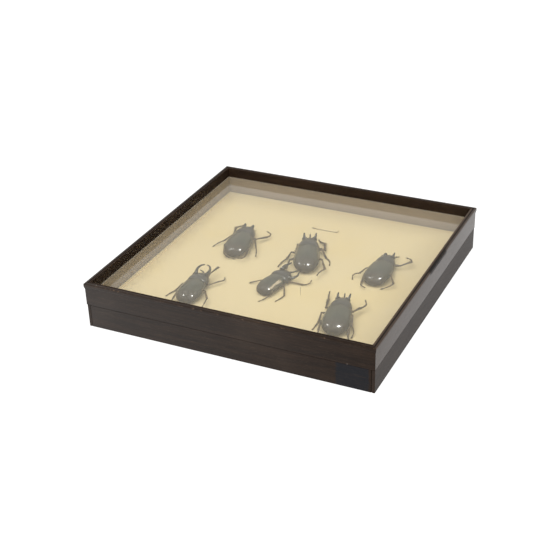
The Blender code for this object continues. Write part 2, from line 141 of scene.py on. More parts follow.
# Horns from base to tip, right side: place and radius, as shares of the body length
HORNS = {
    "stub": ((0.070, 0.37, 0.175, 0.034), (0.082, 0.43, 0.195, 0.027), (0.088, 0.478, 0.210, 0.019)),
    "knob": ((0.066, 0.37, 0.175, 0.036), (0.074, 0.425, 0.193, 0.030), (0.080, 0.465, 0.206, 0.021)),
    "lump": ((0.055, 0.36, 0.165, 0.045), (0.056, 0.41, 0.185, 0.037), (0.054, 0.445, 0.200, 0.026)),
    "peg": ((0.084, 0.38, 0.175, 0.032), (0.093, 0.44, 0.192, 0.022), (0.094, 0.500, 0.214, 0.012)),
    "short": ((0.080, 0.40, 0.175, 0.030), (0.097, 0.47, 0.185, 0.020), (0.100, 0.545, 0.206, 0.013)),
    "straight": ((0.080, 0.42, 0.165, 0.030), (0.095, 0.51, 0.178, 0.020), (0.099, 0.585, 0.192, 0.013)),
    "pincer": ((0.105, 0.36, 0.185, 0.032), (0.128, 0.50, 0.225, 0.024), (0.085, 0.59, 0.252, 0.017),
               (0.018, 0.625, 0.260, 0.010)),
    "swept_high": ((0.095, 0.38, 0.190, 0.044), (0.110, 0.50, 0.225, 0.034), (0.088, 0.60, 0.238, 0.024),
                   (0.067, 0.70, 0.238, 0.013)),
    "swept_low": ((0.120, 0.28, 0.170, 0.038), (0.225, 0.32, 0.175, 0.031), (0.278, 0.43, 0.210, 0.024),
                  (0.262, 0.52, 0.255, 0.013)),
}
HEAD_HORNS = {
    "stub": ((0.0, 0.46, 0.11, 0.022), (0.0, 0.49, 0.13, 0.014), (0.0, 0.51, 0.15, 0.009)),
    "short": ((0.0, 0.46, 0.11, 0.022), (0.0, 0.53, 0.14, 0.014), (-0.002, 0.585, 0.178, 0.010)),
    "skew": ((0.0, 0.47, 0.11, 0.022), (-0.02, 0.52, 0.150, 0.014), (-0.095, 0.535, 0.180, 0.009)),
    "swept": ((0.0, 0.44, 0.13, 0.026), (0.120, 0.46, 0.20, 0.021), (0.190, 0.500, 0.245, 0.016),
              (0.250, 0.540, 0.275, 0.010)),
}

# Each specimen: place of its middle in millimetres, heading and roll in degrees, length in millimetres,
# the turn of the pronotum on the elytra, breadth of elytra and pronotum against the common form, how
# full the elytra's ends are, its left, right and head horn, and how long its fore, mid and hind legs are.
# A leg is four bearings in degrees from straight ahead, outward positive (femur, tibia, tarsus, claw),
# and the heights in millimetres of knee, ankle and claw over the paper. A pose of three bearings has lost
# most of its tarsus, and one of two has lost all of it.
BEETLES = {
    "beetle_upper_left": {
        "place": (-95.9, 38.9), "heading": 9.9, "roll": 0, "neck": -6, "length": 78, "girth": (1.03, 1.02),
        "fullness": 0.70, "horns": ("stub", "knob", "stub"), "reach": (1.0, 1.0, 1.05),
        "legs": {"fore_left": (55, 5, -25, -10, 5, 6, 1), "fore_right": (118, 37, 77, -86, 8, 5, 7),
                 "mid_left": (45, 160, 112, 150, 7, 6, 1), "mid_right": (110, 160, 155, 175, 13, 10, 4),
                 "hind_left": (144, 196, 206, 305, 10, 6, 1), "hind_right": (145, 175, 160, 335, 10, 9, 4)}},
    "beetle_upper_middle": {
        "place": (9.1, 36), "heading": 19, "roll": 0, "neck": 0, "length": 85.8, "girth": (0.91, 0.93),
        "fullness": 0.70, "horns": ("straight", "straight", "short"), "reach": (1.0, 1.0, 1.0),
        "legs": {"fore_left": (36, 181, 190, 200, 7, 6, 4), "fore_right": (82, -6, -49, -7, 5, 5, 1),
                 "mid_left": (65, 166, 132, 167, 5, 4, 1), "mid_right": (35, 155, 135, 190, 8, 2, 1),
                 "hind_left": (130, 170, 9, 5), "hind_right": (135, 165, 225, 190, 11, 7, 7)}},
    "beetle_right": {
        "place": (118.1, 35.7), "heading": 1, "roll": 0, "neck": 2, "length": 74.9, "girth": (1.05, 0.98),
        "fullness": 0.70, "horns": ("lump", "peg", "stub"), "reach": (1.0, 1.0, 1.0),
        "legs": {"fore_left": (0, -30, -60, 6, 4, 4), "fore_right": (67, 47, -12, -70, 6, 9, 6),
                 "mid_left": (114, 169, 56, 230, 7, 7, 1), "mid_right": (175, -10, -20, -30, 6, 4, 2),
                 "hind_left": (138, 189, 178, 252, 5, 3, 4), "hind_right": (134, 149, 218, 257, 11, 7, 1)}},
    "beetle_lower_left": {
        "place": (-94.6, -102.5), "heading": 7, "roll": 0, "neck": -2, "length": 70.6, "girth": (1.03, 1.13),
        "fullness": 0.70, "horns": ("pincer", "pincer", "skew"), "reach": (1.3, 1.0, 1.0),
        "legs": {"fore_left": (25, 190, 200, 210, 9, 7, 5), "fore_right": (21, 10, 13, 12),
                 "mid_left": (70, 165, 145, 165, 5, 2, 1), "mid_right": (41, 38, 57, -39, 5, 5, 3),
                 "hind_left": (145, 180, 180, 190, 9, 7, 5), "hind_right": (115, 150, 180, 182, 12, 8, 5)}},
    "beetle_centre": {
        "place": (-1.7, -47.6), "heading": -11, "roll": 12, "neck": 0, "length": 61.8, "girth": (0.95, 1.22),
        "fullness": 0.60, "horns": ("swept_high", "swept_low", "swept"), "reach": (1.05, 1.15, 1.05),
        "legs": {"fore_left": (20, 175, 190, 190, 8, 5, 3), "fore_right": (72, 72, 82, -33, 3, 1, 4),
                 "mid_left": (175, -10, -20, -30, 6, 4, 2), "mid_right": (120, 145, 180, 195, 6, 2, 1),
                 "hind_left": (92, 128, 5, 2), "hind_right": (150, 185, 190, 210, 6, 3, 1)}},
    "beetle_lower_right": {
        "place": (110.4, -97.2), "heading": 13.2, "roll": 0, "neck": -2, "length": 79.3,
        "girth": (1.02, 0.98), "fullness": 0.70, "horns": ("short", "short", "short"),
        "reach": (1.0, 1.0, 1.0),
        "legs": {"fore_left": (66, -1, 11, -1, 4, 5, 6), "fore_right": (131, 20, 79, -40, 11, 7, 10),
                 "mid_left": (76, 178, 169, 164, 5, 2, 1), "mid_right": (130, 175, 140, 205, 13, 8, 1),
                 "hind_left": (140, 180, 185, 185, 9, 7, 7), "hind_right": (145, 180, 170, 165, 10, 4, 7)}},
}

# Painted glare, pale bands in place of reflections: how far across, and between which two places along the
# body, as shares of its length
PAINTED_GLARE = {"beetle_centre": (0.155, -0.40, 0.06)}

# Degrees from the top of a body form at which its skin has points, right half, close at suture and rim
ELYTRA_ANGLES = (1.0, 2.0, 3.2, 5.0, 8.0, 12, 17, 23, 29, 35, 41, 47, 53, 59, 65, 71, 76, 80, 83, 85, 87,
                 89, 91, 94, 100, 110, 120, 130, 140, 150, 160, 170)
PLAIN_ANGLES = (3, 8, 15, 22, 30, 38, 46, 54, 62, 69, 75, 80, 84, 88, 92, 97, 105, 117, 130, 145, 160)
CHITIN, LIMB, HORN_SLOT = 0, 1, 2

# Lamps: where they stand, and their sides. A glint lamp is one of a block of three by two, whose middle is
# given with its share of the power, and which lights only the polished skins.
SOFT_LAMPS = {"soft_lamp_over": (-0.5, -0.1, 2.4), "soft_lamp_near": (0.7, -1.8, 1.6)}
SOFT_LAMP_SIZE = 2.2
GLINT_LAMPS = {"right": ((0.92, -0.64, 1.66), 1.0), "left": ((-1.06, -0.86, 1.46), 0.3)}
GLINT_LAMP_SIZE = 0.04
GLINT_LAMP_STEP = 0.11
GLINT_LAMP_RISE = 0.13


class CaseSettings(bpy.types.PropertyGroup):
    """Colours and sizes of the wooden case, its glass and its lining."""
    lacquer: bpy.props.FloatVectorProperty(
        name="Lacquer", description="Stained wood under its lacquer", subtype="COLOR", min=0, max=1,
        default=(0.0145, 0.0078, 0.0045))
    # Worn wood, also painted as light: a side whose stain is set faded is mixed toward it to look lighter.
    worn_and_lit_wood: bpy.props.FloatVectorProperty(
        name="Worn wood", description="Wood where the lacquer has rubbed through", subtype="COLOR", min=0,
        max=1, default=(0.16, 0.10, 0.062))
    gloss: bpy.props.FloatProperty(
        name="Gloss", description="Roughness of the lacquer", subtype="FACTOR", min=0, max=1, default=0.26)
    arris: bpy.props.FloatProperty(
        name="Arris", description="Rounding of the rails' sharp edges", unit="LENGTH", default=0.35 * MM)
    wear_depth: bpy.props.FloatProperty(
        name="Wear depth", description="How far worn edges draw back", unit="LENGTH", default=0.12 * MM)
    lining: bpy.props.FloatVectorProperty(
        name="Lining", description="Boards inside the case", subtype="COLOR", min=0, max=1,
        default=(0.335, 0.280, 0.240))
    paper: bpy.props.FloatVectorProperty(
        name="Floor paper", description="Paper under the specimens", subtype="COLOR", min=0, max=1,
        default=(0.72, 0.588, 0.355))
    paper_swell: bpy.props.FloatProperty(
        name="Paper swell", description="Height of the paper's gentle waves", unit="LENGTH",
        default=0.22 * MM)
    glass: bpy.props.FloatVectorProperty(
        name="Glass", description="Tint of the pane", subtype="COLOR", min=0, max=1,
        default=(0.985, 0.995, 0.985))
    dust: bpy.props.FloatProperty(
        name="Dust", description="Share of light that each side of the dust film stops", subtype="FACTOR",
        min=0, max=1, default=0.025)
    # Partly the dust's own colour, partly painted light: the cream light that the paper sends up through the
    # film.
    dust_and_paper_light_tint: bpy.props.FloatVectorProperty(
        name="Dust tint", description="Colour of the dust film", subtype="COLOR", min=0, max=1,
        default=(0.92, 0.78, 0.46))


class SpecimenSettings(bpy.types.PropertyGroup):
    """Colours and sizes of the dried beetles."""
    chitin: bpy.props.FloatVectorProperty(
        name="Chitin", description="Wing cases", subtype="COLOR", min=0, max=1,
        default=(0.027, 0.037, 0.027))
    shield: bpy.props.FloatVectorProperty(
        name="Shield", description="Pronotum and head", subtype="COLOR", min=0, max=1,
        default=(0.017, 0.020, 0.025))
    # Brownish colour painted on the rear end in place of its reflection of the brown lining: painted
    # reflection.
    rear: bpy.props.FloatVectorProperty(
        name="Rear", description="The wing cases' steep rear end", subtype="COLOR", min=0, max=1,
        default=(0.033, 0.021, 0.016))
    limb: bpy.props.FloatVectorProperty(
        name="Limbs", description="Legs and mouth parts", subtype="COLOR", min=0, max=1,
        default=(0.088, 0.050, 0.013))
    hair: bpy.props.FloatVectorProperty(
        name="Hair", description="Fringes and bristles", subtype="COLOR", min=0, max=1,
        default=(0.22, 0.10, 0.035))
    gloss: bpy.props.FloatProperty(
        name="Gloss", description="Roughness of the wing cases", subtype="FACTOR", min=0, max=1,
        default=0.5)
    hair_length: bpy.props.FloatProperty(
        name="Hair length", description="Length of the longest bristles", unit="LENGTH", default=2.6 * MM)


class StageSettings(bpy.types.PropertyGroup):
    """The floor, the lights and the camera."""
    floor: bpy.props.FloatVectorProperty(
        name="Floor", description="Pale floor", subtype="COLOR", min=0, max=1, default=(0.14, 0.14, 0.139))
    floor_glow: bpy.props.FloatProperty(
        name="Floor glow", description="Light that the pale floor gives from below", min=0, max=2,
        default=0.96)
    walls: bpy.props.FloatProperty(
        name="Walls", description="Light from the pale walls all round", min=0, max=10, default=0.60)
    ceiling: bpy.props.FloatProperty(
        name="Ceiling", description="Light from overhead", min=0, max=10, default=0.9)
    soft_light: bpy.props.FloatProperty(
        name="Soft light", description="Power of each broad soft lamp", unit="POWER", default=38)
    glint_light: bpy.props.FloatProperty(
        name="Glint light", description="Power of each small lamp that the polished skins mirror",
        unit="POWER", default=7)
    camera_place: bpy.props.FloatVectorProperty(
        name="Camera place", description="Where the camera stands", subtype="TRANSLATION", unit="LENGTH",
        default=(0.58643, -1.24316, 0.78226))
    azimuth: bpy.props.FloatProperty(
        name="Azimuth", description="The camera's turn from the near side", unit="ROTATION",
        default=math.radians(25.889))
    elevation: bpy.props.FloatProperty(
        name="Elevation", description="How far the camera looks down", unit="ROTATION",
        default=math.radians(29.397))
    lean: bpy.props.FloatProperty(
        name="Lean", description="The camera's roll", unit="ROTATION", default=math.radians(-1.77))
    lens: bpy.props.FloatProperty(
        name="Lens", description="Focal length on a 36 mm sensor, in millimetres", default=73.82)


class Term:
    """A socket of a finish that takes part in Python arithmetic: each operator adds its Math node."""

    def __init__(self, finish, socket):
        self.finish = finish
        self.socket = socket

    def maths(self, operation, *operands):
        return self.finish.node("ShaderNodeMath", {"operation": operation}, dict(enumerate(operands)))

    def __add__(self, other):
        return self.maths("ADD", self, other)

    def __sub__(self, other):
        return self.maths("SUBTRACT", self, other)

    def __rsub__(self, other):
        return self.maths("SUBTRACT", other, self)

    def __mul__(self, other):
        return self.maths("MULTIPLY", self, other)

    def __abs__(self):
        return self.maths("ABSOLUTE", self)

    __radd__ = __add__
    __rmul__ = __mul__

    def beside(self, name):
        """Another output of the same node."""
        return Term(self.finish, self.socket.node.outputs[name])

    def least(self, other):
        return self.maths("MINIMUM", self, other)

    def most(self, other):
        return self.maths("MAXIMUM", self, other)

    def ramp(self, low, high):
        """0 below low, 1 above high, evenly between."""
        return self.finish.node("ShaderNodeMapRange", None,
                                {"Value": self, "From Min": low, "From Max": high})

    def rise(self, low, high):
        """0 below low, 1 above high, with a smooth step between."""
        return self.finish.node("ShaderNodeMapRange", {"interpolation_type": "SMOOTHSTEP"},
                                {"Value": self, "From Min": low, "From Max": high})

    def fall(self, low, high):
        return 1 - self.rise(low, high)

    def near(self, centre, half_width, soft):
        """1 within half_width of centre, and 0 past a soft border."""
        return abs(self - centre).fall(half_width, half_width + soft)


class Finish:
    """A material whose look is put together from terms."""

    def __init__(self, name):
        self.material = bpy.data.materials.new(name)
        self.material.use_nodes = True
        self.tree = self.material.node_tree
        self.shader = self.tree.nodes["Principled BSDF"]
        self.place = self.node("ShaderNodeTexCoord").beside("Object")

    def node(self, kind, settings=None, sockets=None):
        """Adds a node: first its settings, then a value or a term for each of its sockets."""
        node = self.tree.nodes.new(kind)
        for name, value in (settings or {}).items():
            setattr(node, name, value)
        for key, value in (sockets or {}).items():
            self.feed(node.inputs[key], value)
        return Term(self, next(socket for socket in node.outputs if socket.enabled))

    def feed(self, socket, value):
        if isinstance(value, Term):
            self.tree.links.new(value.socket, socket)
        elif socket.type == "RGBA":
            socket.default_value = (*value, 1.0)
        else:
            socket.default_value = value

    def axes(self, term=None):
        """The three numbers of a vector, which is the place on the piece if none is given."""
        x = self.node("ShaderNodeSeparateXYZ", None, {"Vector": term or self.place})
        return x, x.beside("Y"), x.beside("Z")

    def stretched(self, stretch):
        """The place on the piece, times a number for each axis: the larger, the finer."""
        return self.node("ShaderNodeVectorMath", {"operation": "MULTIPLY"}, {0: self.place, 1: stretch})

    def cloud(self, stretch, detail=3.0, roughness=0.5):
        """Noise between 0 and 1, about 0.5."""
        return self.node("ShaderNodeTexNoise", None,
                         {"Vector": self.stretched(stretch), "Scale": 1.0, "Detail": detail,
                          "Roughness": roughness})

    def pits(self, stretch):
        """Distance from the nearest of many scattered points."""
        return self.node("ShaderNodeTexVoronoi", None, {"Vector": self.stretched(stretch), "Scale": 1.0})

    def mix(self, share, first, second):
        """One colour passing into another."""
        node = self.tree.nodes.new("ShaderNodeMix")
        node.data_type = "RGBA"
        self.feed(node.inputs[0], share)
        self.feed(node.inputs[6], first)
        self.feed(node.inputs[7], second)
        return Term(self, node.outputs[2])

    def bump(self, height, distance, strength=1.0):
        return self.node("ShaderNodeBump", None,
                         {"Height": height, "Distance": distance, "Strength": strength})

    def wear(self, sockets):
        """Sets the shader's own sockets."""
        for name, value in sockets.items():
            self.feed(self.shader.inputs[name], value)
        return self.material


class Surround(Finish):
    """The light of the room, by the height of the way it comes from."""

    def __init__(self, name):
        self.world = bpy.data.worlds.new(name)
        self.world.use_nodes = True
        self.tree = self.world.node_tree
        self.shader = self.tree.nodes["Background"]
        self.place = self.node("ShaderNodeTexCoord")

    def shine(self, walls, ceiling):
        """Two strengths: of the walls all round, and overhead."""
        height = self.axes()[2]
        self.feed(self.shader.inputs["Color"], evenly(1.0))
        self.feed(self.shader.inputs["Strength"], walls + height.rise(0.72, 0.86) * (ceiling - walls))
        return self.world


def evenly(value):
    return (value, value, value)


def scaled(colour, share):
    return tuple(channel * share for channel in colour)


def lacquered_wood(name, settings, along, shine, marks=()):
    """Dark stained wood under worn lacquer. Along is the axis of its grain, shine is how much coat it has at
    its low and high end and how far its stain is faded to copy the light, and marks are stains and painted
    shade lines."""
    finish = Finish(name)
    x, y, z = finish.axes()
    grain_step = {"X": (9, 160, 160), "Y": (160, 9, 160)}[along]
    pore_step = {"X": (70, 2600, 2600), "Y": (2600, 70, 2600)}[along]
    scratch_step = {"X": (22, 240, 900), "Y": (240, 22, 900)}[along]
    grain = finish.cloud(grain_step, detail=6.0, roughness=0.62)
    pores = finish.cloud(pore_step, detail=2.0).rise(0.60, 0.72)
    blotch = finish.cloud(evenly(14), detail=4.0)
    dust = finish.cloud(evenly(900), detail=2.0).rise(0.62, 0.74)
    scratch = finish.cloud(scratch_step, detail=1.0).near(0.5, 0.004, 0.004)
    broken = finish.cloud(evenly(260), detail=5.0, roughness=0.7)
    outer = abs(x).most(abs(y))
    lip = outer.rise(CASE_HALF - 0.9 * MM, CASE_HALF - 0.1 * MM)
    edge = (lip * z.near(CASE_TOP - 1.2 * MM, 0.8 * MM, 1.2 * MM)).least(broken.rise(0.55, 0.68))
    colour = finish.mix(grain.rise(0.30, 0.75), scaled(settings.lacquer, 0.75),
                        scaled(settings.lacquer, 1.6))
    colour = finish.mix(pores * 0.6, colour, scaled(settings.lacquer, 0.35))
    colour = finish.mix(blotch.rise(0.5, 0.8) * 0.35, colour, scaled(settings.worn_and_lit_wood, 0.22))
    # Painted light: a side set faded is mixed toward pale wood so that it looks as light as it was lit.
    colour = finish.mix(shine[2], colour, scaled(settings.worn_and_lit_wood, 0.55))
    reach = {"X": x, "Y": y}[along].ramp(-CASE_HALF, CASE_HALF)
    coat = (reach * (shine[1] - shine[0]) + shine[0]) * (0.85 + blotch * 0.3)
    outward = outer.rise(CASE_HALF - 8 * MM, CASE_HALF - 2 * MM)
    # No coat at the very foot, so it reflects nothing there: painted shade where the case meets the floor.
    coat = coat * outward.most(z.rise(CASE_TOP - 11 * MM, CASE_TOP - 4 * MM)) * z.rise(0, 1.6 * MM)
    for mark in marks:
        patch, tint, dull = mark(finish, x, y, z)
        colour = finish.mix(patch, colour, tint)
        coat = coat * (1 - patch * dull)
    colour = finish.mix(edge * 0.75, colour, settings.worn_and_lit_wood)
    colour = finish.mix(scratch * 0.35, colour, scaled(settings.worn_and_lit_wood, 0.6))
    colour = finish.mix(dust * 0.04, colour, (0.35, 0.32, 0.28))
    height = grain * 0.5 - pores * 0.6 + scratch * -0.4
    return finish.wear({
        "Base Color": colour, "Roughness": 0.55 + pores * 0.2, "IOR": 1.5, "Specular IOR Level": 0.12,
        "Coat Weight": coat, "Coat Roughness": settings.gloss, "Coat IOR": 1.5,
        "Normal": finish.bump(height, 0.05 * MM, 0.6)})


# Near black, painted as shade in the rail's top groove and in the joint under the lid.
SHADE_BLACK = (0.003, 0.002, 0.002)


def dark_stain(low_x, high_x):
    """A blue-black patch over a stretch of the front board, with ragged ends."""
    def mark(finish, x, y, z):
        ragged = x + (finish.cloud(evenly(120), detail=4.0) - 0.5) * (6 * MM)
        patch = ragged.rise(low_x, low_x + 3 * MM) * ragged.fall(high_x - 3 * MM, high_x)
        return patch * 0.8, (0.008, 0.010, 0.014), 0.7
    return mark


def rubbed_stretch(low_y, high_y, low_z):
    """A ragged dark smudge under the lip of the right rail, above a height."""
    def mark(finish, x, y, z):
        ragged = y + (finish.cloud(evenly(90), detail=5.0) - 0.5) * (26 * MM)
        patch = ragged.rise(low_y, low_y + 6 * MM) * ragged.fall(high_y - 6 * MM, high_y)
        return patch * z.rise(low_z, low_z + 3 * MM) * 0.9, (0.008, 0.007, 0.006), 0.95
    return mark


def shaded_groove(low, high):
    """A painted shade line along the groove on top of a rail, from low to high inward from the lip."""
    def mark(finish, x, y, z):
        inward = CASE_HALF - abs(x).most(abs(y))
        line = inward.near((low + high) / 2, (high - low) / 2, 0.25 * MM)
        return line * z.rise(CASE_TOP - 9 * MM, CASE_TOP - 8 * MM), SHADE_BLACK, 1.0
    return mark


def shaded_foot(foot):
    """The shade in the joint under the lid."""
    def mark(finish, x, y, z):
        return z.fall(foot + 0.3 * MM, foot + 1.2 * MM), SHADE_BLACK, 1.0
    return mark


def chip(place, radius):
    """A small grey chip in the lacquer."""
    def mark(finish, x, y, z):
        offset = finish.node("ShaderNodeVectorMath", {"operation": "DISTANCE"},
                             {0: finish.place, 1: place}).beside("Value")
        ragged = offset + (finish.cloud(evenly(1500), detail=2.0) - 0.5) * radius
        return ragged.fall(radius * 0.6, radius), (0.16, 0.14, 0.12), 1.0
    return mark


def hardboard(name):
    """The plain unlacquered board of the panel under the case and of the pad."""
    finish = Finish(name)
    fibres = finish.cloud(evenly(700), detail=4.0, roughness=0.7)
    blotch = finish.cloud(evenly(18), detail=4.0)
    colour = finish.mix(fibres.rise(0.35, 0.65), (0.085, 0.050, 0.028), (0.145, 0.090, 0.052))
    colour = finish.mix(blotch.rise(0.45, 0.75) * 0.5, colour, (0.060, 0.036, 0.022))
    return finish.wear({"Base Color": colour, "Roughness": 0.6 + fibres * 0.25,
                        "Normal": finish.bump(fibres, 0.08 * MM, 0.5)})


def wall_lining(name, settings):
    """Matte taupe board lining, with painted shade darkening it toward its foot."""
    finish = Finish(name)
    z = finish.axes()[2]
    fibres = finish.cloud(evenly(1300), detail=3.0, roughness=0.65)
    blotch = finish.cloud(evenly(26), detail=4.0)
    # Painted shade in the corner where the wall meets the paper.
    foot = z.fall(PAPER_TOP, PAPER_TOP + 14 * MM)
    colour = finish.mix(fibres.rise(0.3, 0.7), scaled(settings.lining, 0.90), scaled(settings.lining, 1.08))
    colour = finish.mix(blotch.rise(0.5, 0.8) * 0.25, colour, scaled(settings.lining, 0.72))
    colour = finish.mix(foot * 0.45, colour, scaled(settings.lining, 0.55))
    return finish.wear({"Base Color": colour, "Roughness": 0.72 + fibres * 0.2, "Specular IOR Level": 0.0,
                        "Normal": finish.bump(fibres, 0.04 * MM, 0.4)})


def floor_paper_finish(name, settings):
    """Cream paper, a little yellowed, with painted rosy shade along its fold, painted light on its turned-up
    edges and painted shade along the far and right edges.
    """
    finish = Finish(name)
    x, y, z = finish.axes()
    fibres = finish.cloud(evenly(1700), detail=4.0, roughness=0.7)
    cloudy = finish.cloud(evenly(11), detail=4.0)
    fox = finish.cloud(evenly(120), detail=3.0).rise(0.70, 0.80)
    edge = abs(x).most(abs(y))
    # Painted shade: a rosy line where the turned-up edge folds down into the sheet.
    fold_shade = edge.near(PAPER_HALF - 3.2 * MM, 0.3 * MM, 0.8 * MM)
    colour = finish.mix(fibres.rise(0.3, 0.7), scaled(settings.paper, 0.96), scaled(settings.paper, 1.03))
    colour = finish.mix(cloudy.rise(0.45, 0.75) * 0.35, colour, (0.72, 0.55, 0.25))
    colour = finish.mix(fold_shade * 0.35, colour, (0.60, 0.38, 0.24))
    # Painted light: the turned-up edges are paler where they rise into the light.
    colour = finish.mix(z.rise(PAPER_TOP + 0.5 * MM, PAPER_TOP + 2.5 * MM) * 0.5, colour, (0.80, 0.70, 0.48))
    # Painted shade along the far and right edges.
    shade = y.rise(PAPER_HALF - 50 * MM, PAPER_HALF).most(x.rise(PAPER_HALF - 90 * MM, PAPER_HALF))
    colour = finish.mix(shade * 0.45, colour, (0.46, 0.37, 0.23))
    colour = finish.mix(fox * 0.12, colour, (0.42, 0.25, 0.10))
    return finish.wear({"Base Color": colour, "Roughness": 0.78 + fibres * 0.18, "Specular IOR Level": 0.0,
                        "Normal": finish.bump(fibres, 0.05 * MM, 0.35)})


def label_card(name, settings):
    """Bare cream card with a painted shadow along its near edge."""
    finish = Finish(name)
    fibres = finish.cloud(evenly(1500), detail=3.0, roughness=0.6)
    stain = finish.cloud(evenly(60), detail=3.0)
    colour = finish.mix(fibres.rise(0.3, 0.7), scaled(settings.paper, 0.97), scaled(settings.paper, 1.05))
    colour = finish.mix(stain.rise(0.5, 0.75) * 0.3, colour, (0.66, 0.50, 0.24))
    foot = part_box("label_slip")[0].y
    # Painted shadow along the near edge, where the card's lifted edge would shade the paper.
    painted_edge_shadow = finish.axes()[1].fall(foot + 1.4 * MM, foot + 2.8 * MM)
    colour = finish.mix(painted_edge_shadow * 0.75, colour, (0.13, 0.10, 0.07))
    return finish.wear({"Base Color": colour, "Roughness": 0.75, "Specular IOR Level": 0.0,
                        "Normal": finish.bump(fibres, 0.03 * MM, 0.3)})


def pin_steel(name):
    """Dull steel with a little rust."""
    finish = Finish(name)
    rust = finish.cloud(evenly(1800), detail=4.0).rise(0.5, 0.65)
    return finish.wear({"Base Color": finish.mix(rust, (0.42, 0.40, 0.37), (0.14, 0.075, 0.035)),
                        "Metallic": 1 - rust * 0.7, "Roughness": 0.28 + rust * 0.4})


def clear_glass(name, settings):
    """Thin clear glass that lets lamps light what is behind it."""
    finish = Finish(name)
    finish.wear({"Base Color": settings.glass, "Roughness": 0.0, "IOR": 1.52, "Transmission Weight": 1.0})
    lamp_ray = finish.node("ShaderNodeLightPath").beside("Is Shadow Ray")
    through = finish.node("ShaderNodeBsdfTransparent", None, {"Color": settings.glass})
    pane = finish.node("ShaderNodeMixShader", None,
                       {0: lamp_ray, 1: Term(finish, finish.shader.outputs[0]), 2: through})
    finish.tree.links.new(pane.socket, finish.tree.nodes["Material Output"].inputs["Surface"])
    return finish.material


def settled_dust(name, settings):
    """A thin pale film, a little thicker in soft streaks and along the rails."""
    finish = Finish(name)
    x, y, _height = finish.axes()
    streaks = finish.cloud((26, 9, 1), detail=4.0)
    edge = abs(x).most(abs(y)).rise(CASE_HALF - 14 * MM, CASE_HALF - 8 * MM)
    grains = finish.cloud(evenly(1400), detail=2.0).rise(0.45, 0.75)
    film = settings.dust * (0.85 + streaks * 0.3) + edge * 0.01 + grains * 0.01
    # The warm tint is partly the dust's own and partly painted light from the paper below.
    colour = finish.mix(streaks, settings.dust_and_paper_light_tint, scaled(settings.dust_and_paper_light_tint, 0.97))
    return finish.wear({"Base Color": colour, "Roughness": 1.0, "Specular IOR Level": 0.0, "Alpha": film})


def black_chitin(name, settings, length, glare_band):
    """Polished wing cases and pronotum, finely pitted, thinly dusted, with painted shade and a painted rear
    reflection. A glare band is a pale stretch painted in place of a reflection: how far across it lies, and
    between which two places along the body."""
    finish = Finish(name)
    fine = 1 / (0.0055 * length)
    pits = finish.pits(evenly(fine)).rise(0.10, 0.42)
    waves = finish.cloud(evenly(fine * 0.35), detail=3.0)
    tint = finish.cloud(evenly(55), detail=3.0)
    dust = finish.cloud(evenly(650), detail=4.0, roughness=0.7).rise(0.48, 0.75)
    facing = finish.axes(finish.node("ShaderNodeNewGeometry").beside("Normal"))[2]
    up, shaded_flank = facing.rise(0.2, 0.9), facing.fall(0.05, 0.5)
    across, along, _height = finish.axes()
    mottle = finish.cloud(evenly(420), detail=3.0, roughness=0.6)
    colour = finish.mix(tint.rise(0.35, 0.7), settings.chitin, scaled(settings.chitin, 0.7))
    colour = finish.mix(along.rise(0.12 * length, 0.17 * length), colour, settings.shield)
    # Painted reflection: the steep rear end turns brownish as if mirroring the brown lining near it.
    colour = finish.mix(along.fall(-0.42 * length, -0.26 * length) * 0.85, colour, settings.rear)
    # Painted shade: a dark line where the pronotum meets the wing cases.
    waist = along.near(0.142 * length, 0.004 * length, 0.008 * length)
    colour = finish.mix(waist * 0.9, colour, evenly(0.004))
    colour = finish.mix(dust * up * 0.06, colour, (0.42, 0.40, 0.33))
    colour = finish.mix(mottle.rise(0.42, 0.66) * 0.6, colour, (0.007, 0.006, 0.005))
    colour = finish.mix(mottle.fall(0.32, 0.46) * 0.25, colour, (0.085, 0.082, 0.068))
    # Painted shade: the steep sides darken toward black.
    colour = finish.mix(shaded_flank * 0.8, colour, (0.006, 0.005, 0.004))
    # Painted glare: a pale band in place of a reflection on the wing case's side.
    if glare_band:
        aside, low, high = glare_band
        ragged = across + (mottle - 0.5) * (0.16 * length)
        worn = ragged.near(aside * length, 0.010 * length, 0.022 * length)
        worn = worn * along.rise(low * length, (low + 0.05) * length)
        worn = worn * along.fall((high - 0.1) * length, high * length)
        colour = finish.mix(worn * 0.9, colour, (0.66, 0.54, 0.37))
    rough = settings.gloss + (tint - 0.5) * 0.10 + dust * up * 0.10
    return finish.wear({
        "Base Color": colour, "Roughness": rough, "IOR": 1.56, "Specular IOR Level": 0.15,
        "Coat Weight": 0.9, "Coat Roughness": 0.16,
        "Normal": finish.bump(pits * 0.7 + waves * 0.6, 0.035 * MM, 0.12)})


def limb_chitin(name, settings, length):
    """Legs and mouth parts: browner and duller than the back, with fine wrinkles."""
    finish = Finish(name)
    fine = 1 / (0.004 * length)
    grain = finish.cloud(evenly(fine), detail=3.0, roughness=0.6)
    tint = finish.cloud(evenly(140), detail=3.0)
    colour = finish.mix(tint.rise(0.35, 0.7), settings.limb, (0.010, 0.008, 0.007))
    return finish.wear({"Base Color": colour, "Roughness": 0.38 + grain * 0.16, "IOR": 1.55,
                        "Normal": finish.bump(grain, 0.03 * MM, 0.5)})


def horn_chitin(name, settings, length):
    """Smooth polished horns, paler at their tips than at their roots."""
    finish = Finish(name)
    fine = 1 / (0.006 * length)
    grain = finish.cloud(evenly(fine), detail=2.0)
    tip = finish.axes()[1].rise(0.42 * length, 0.68 * length)
    colour = finish.mix(tip * 0.6, scaled(settings.shield, 0.7), (0.030, 0.020, 0.013))
    return finish.wear({"Base Color": colour, "Roughness": 0.17 + grain * 0.10, "IOR": 1.56,
                        "Specular IOR Level": 0.3, "Coat Weight": 0.3, "Coat Roughness": 0.17,
                        "Normal": finish.bump(grain, 0.02 * MM, 0.4)})


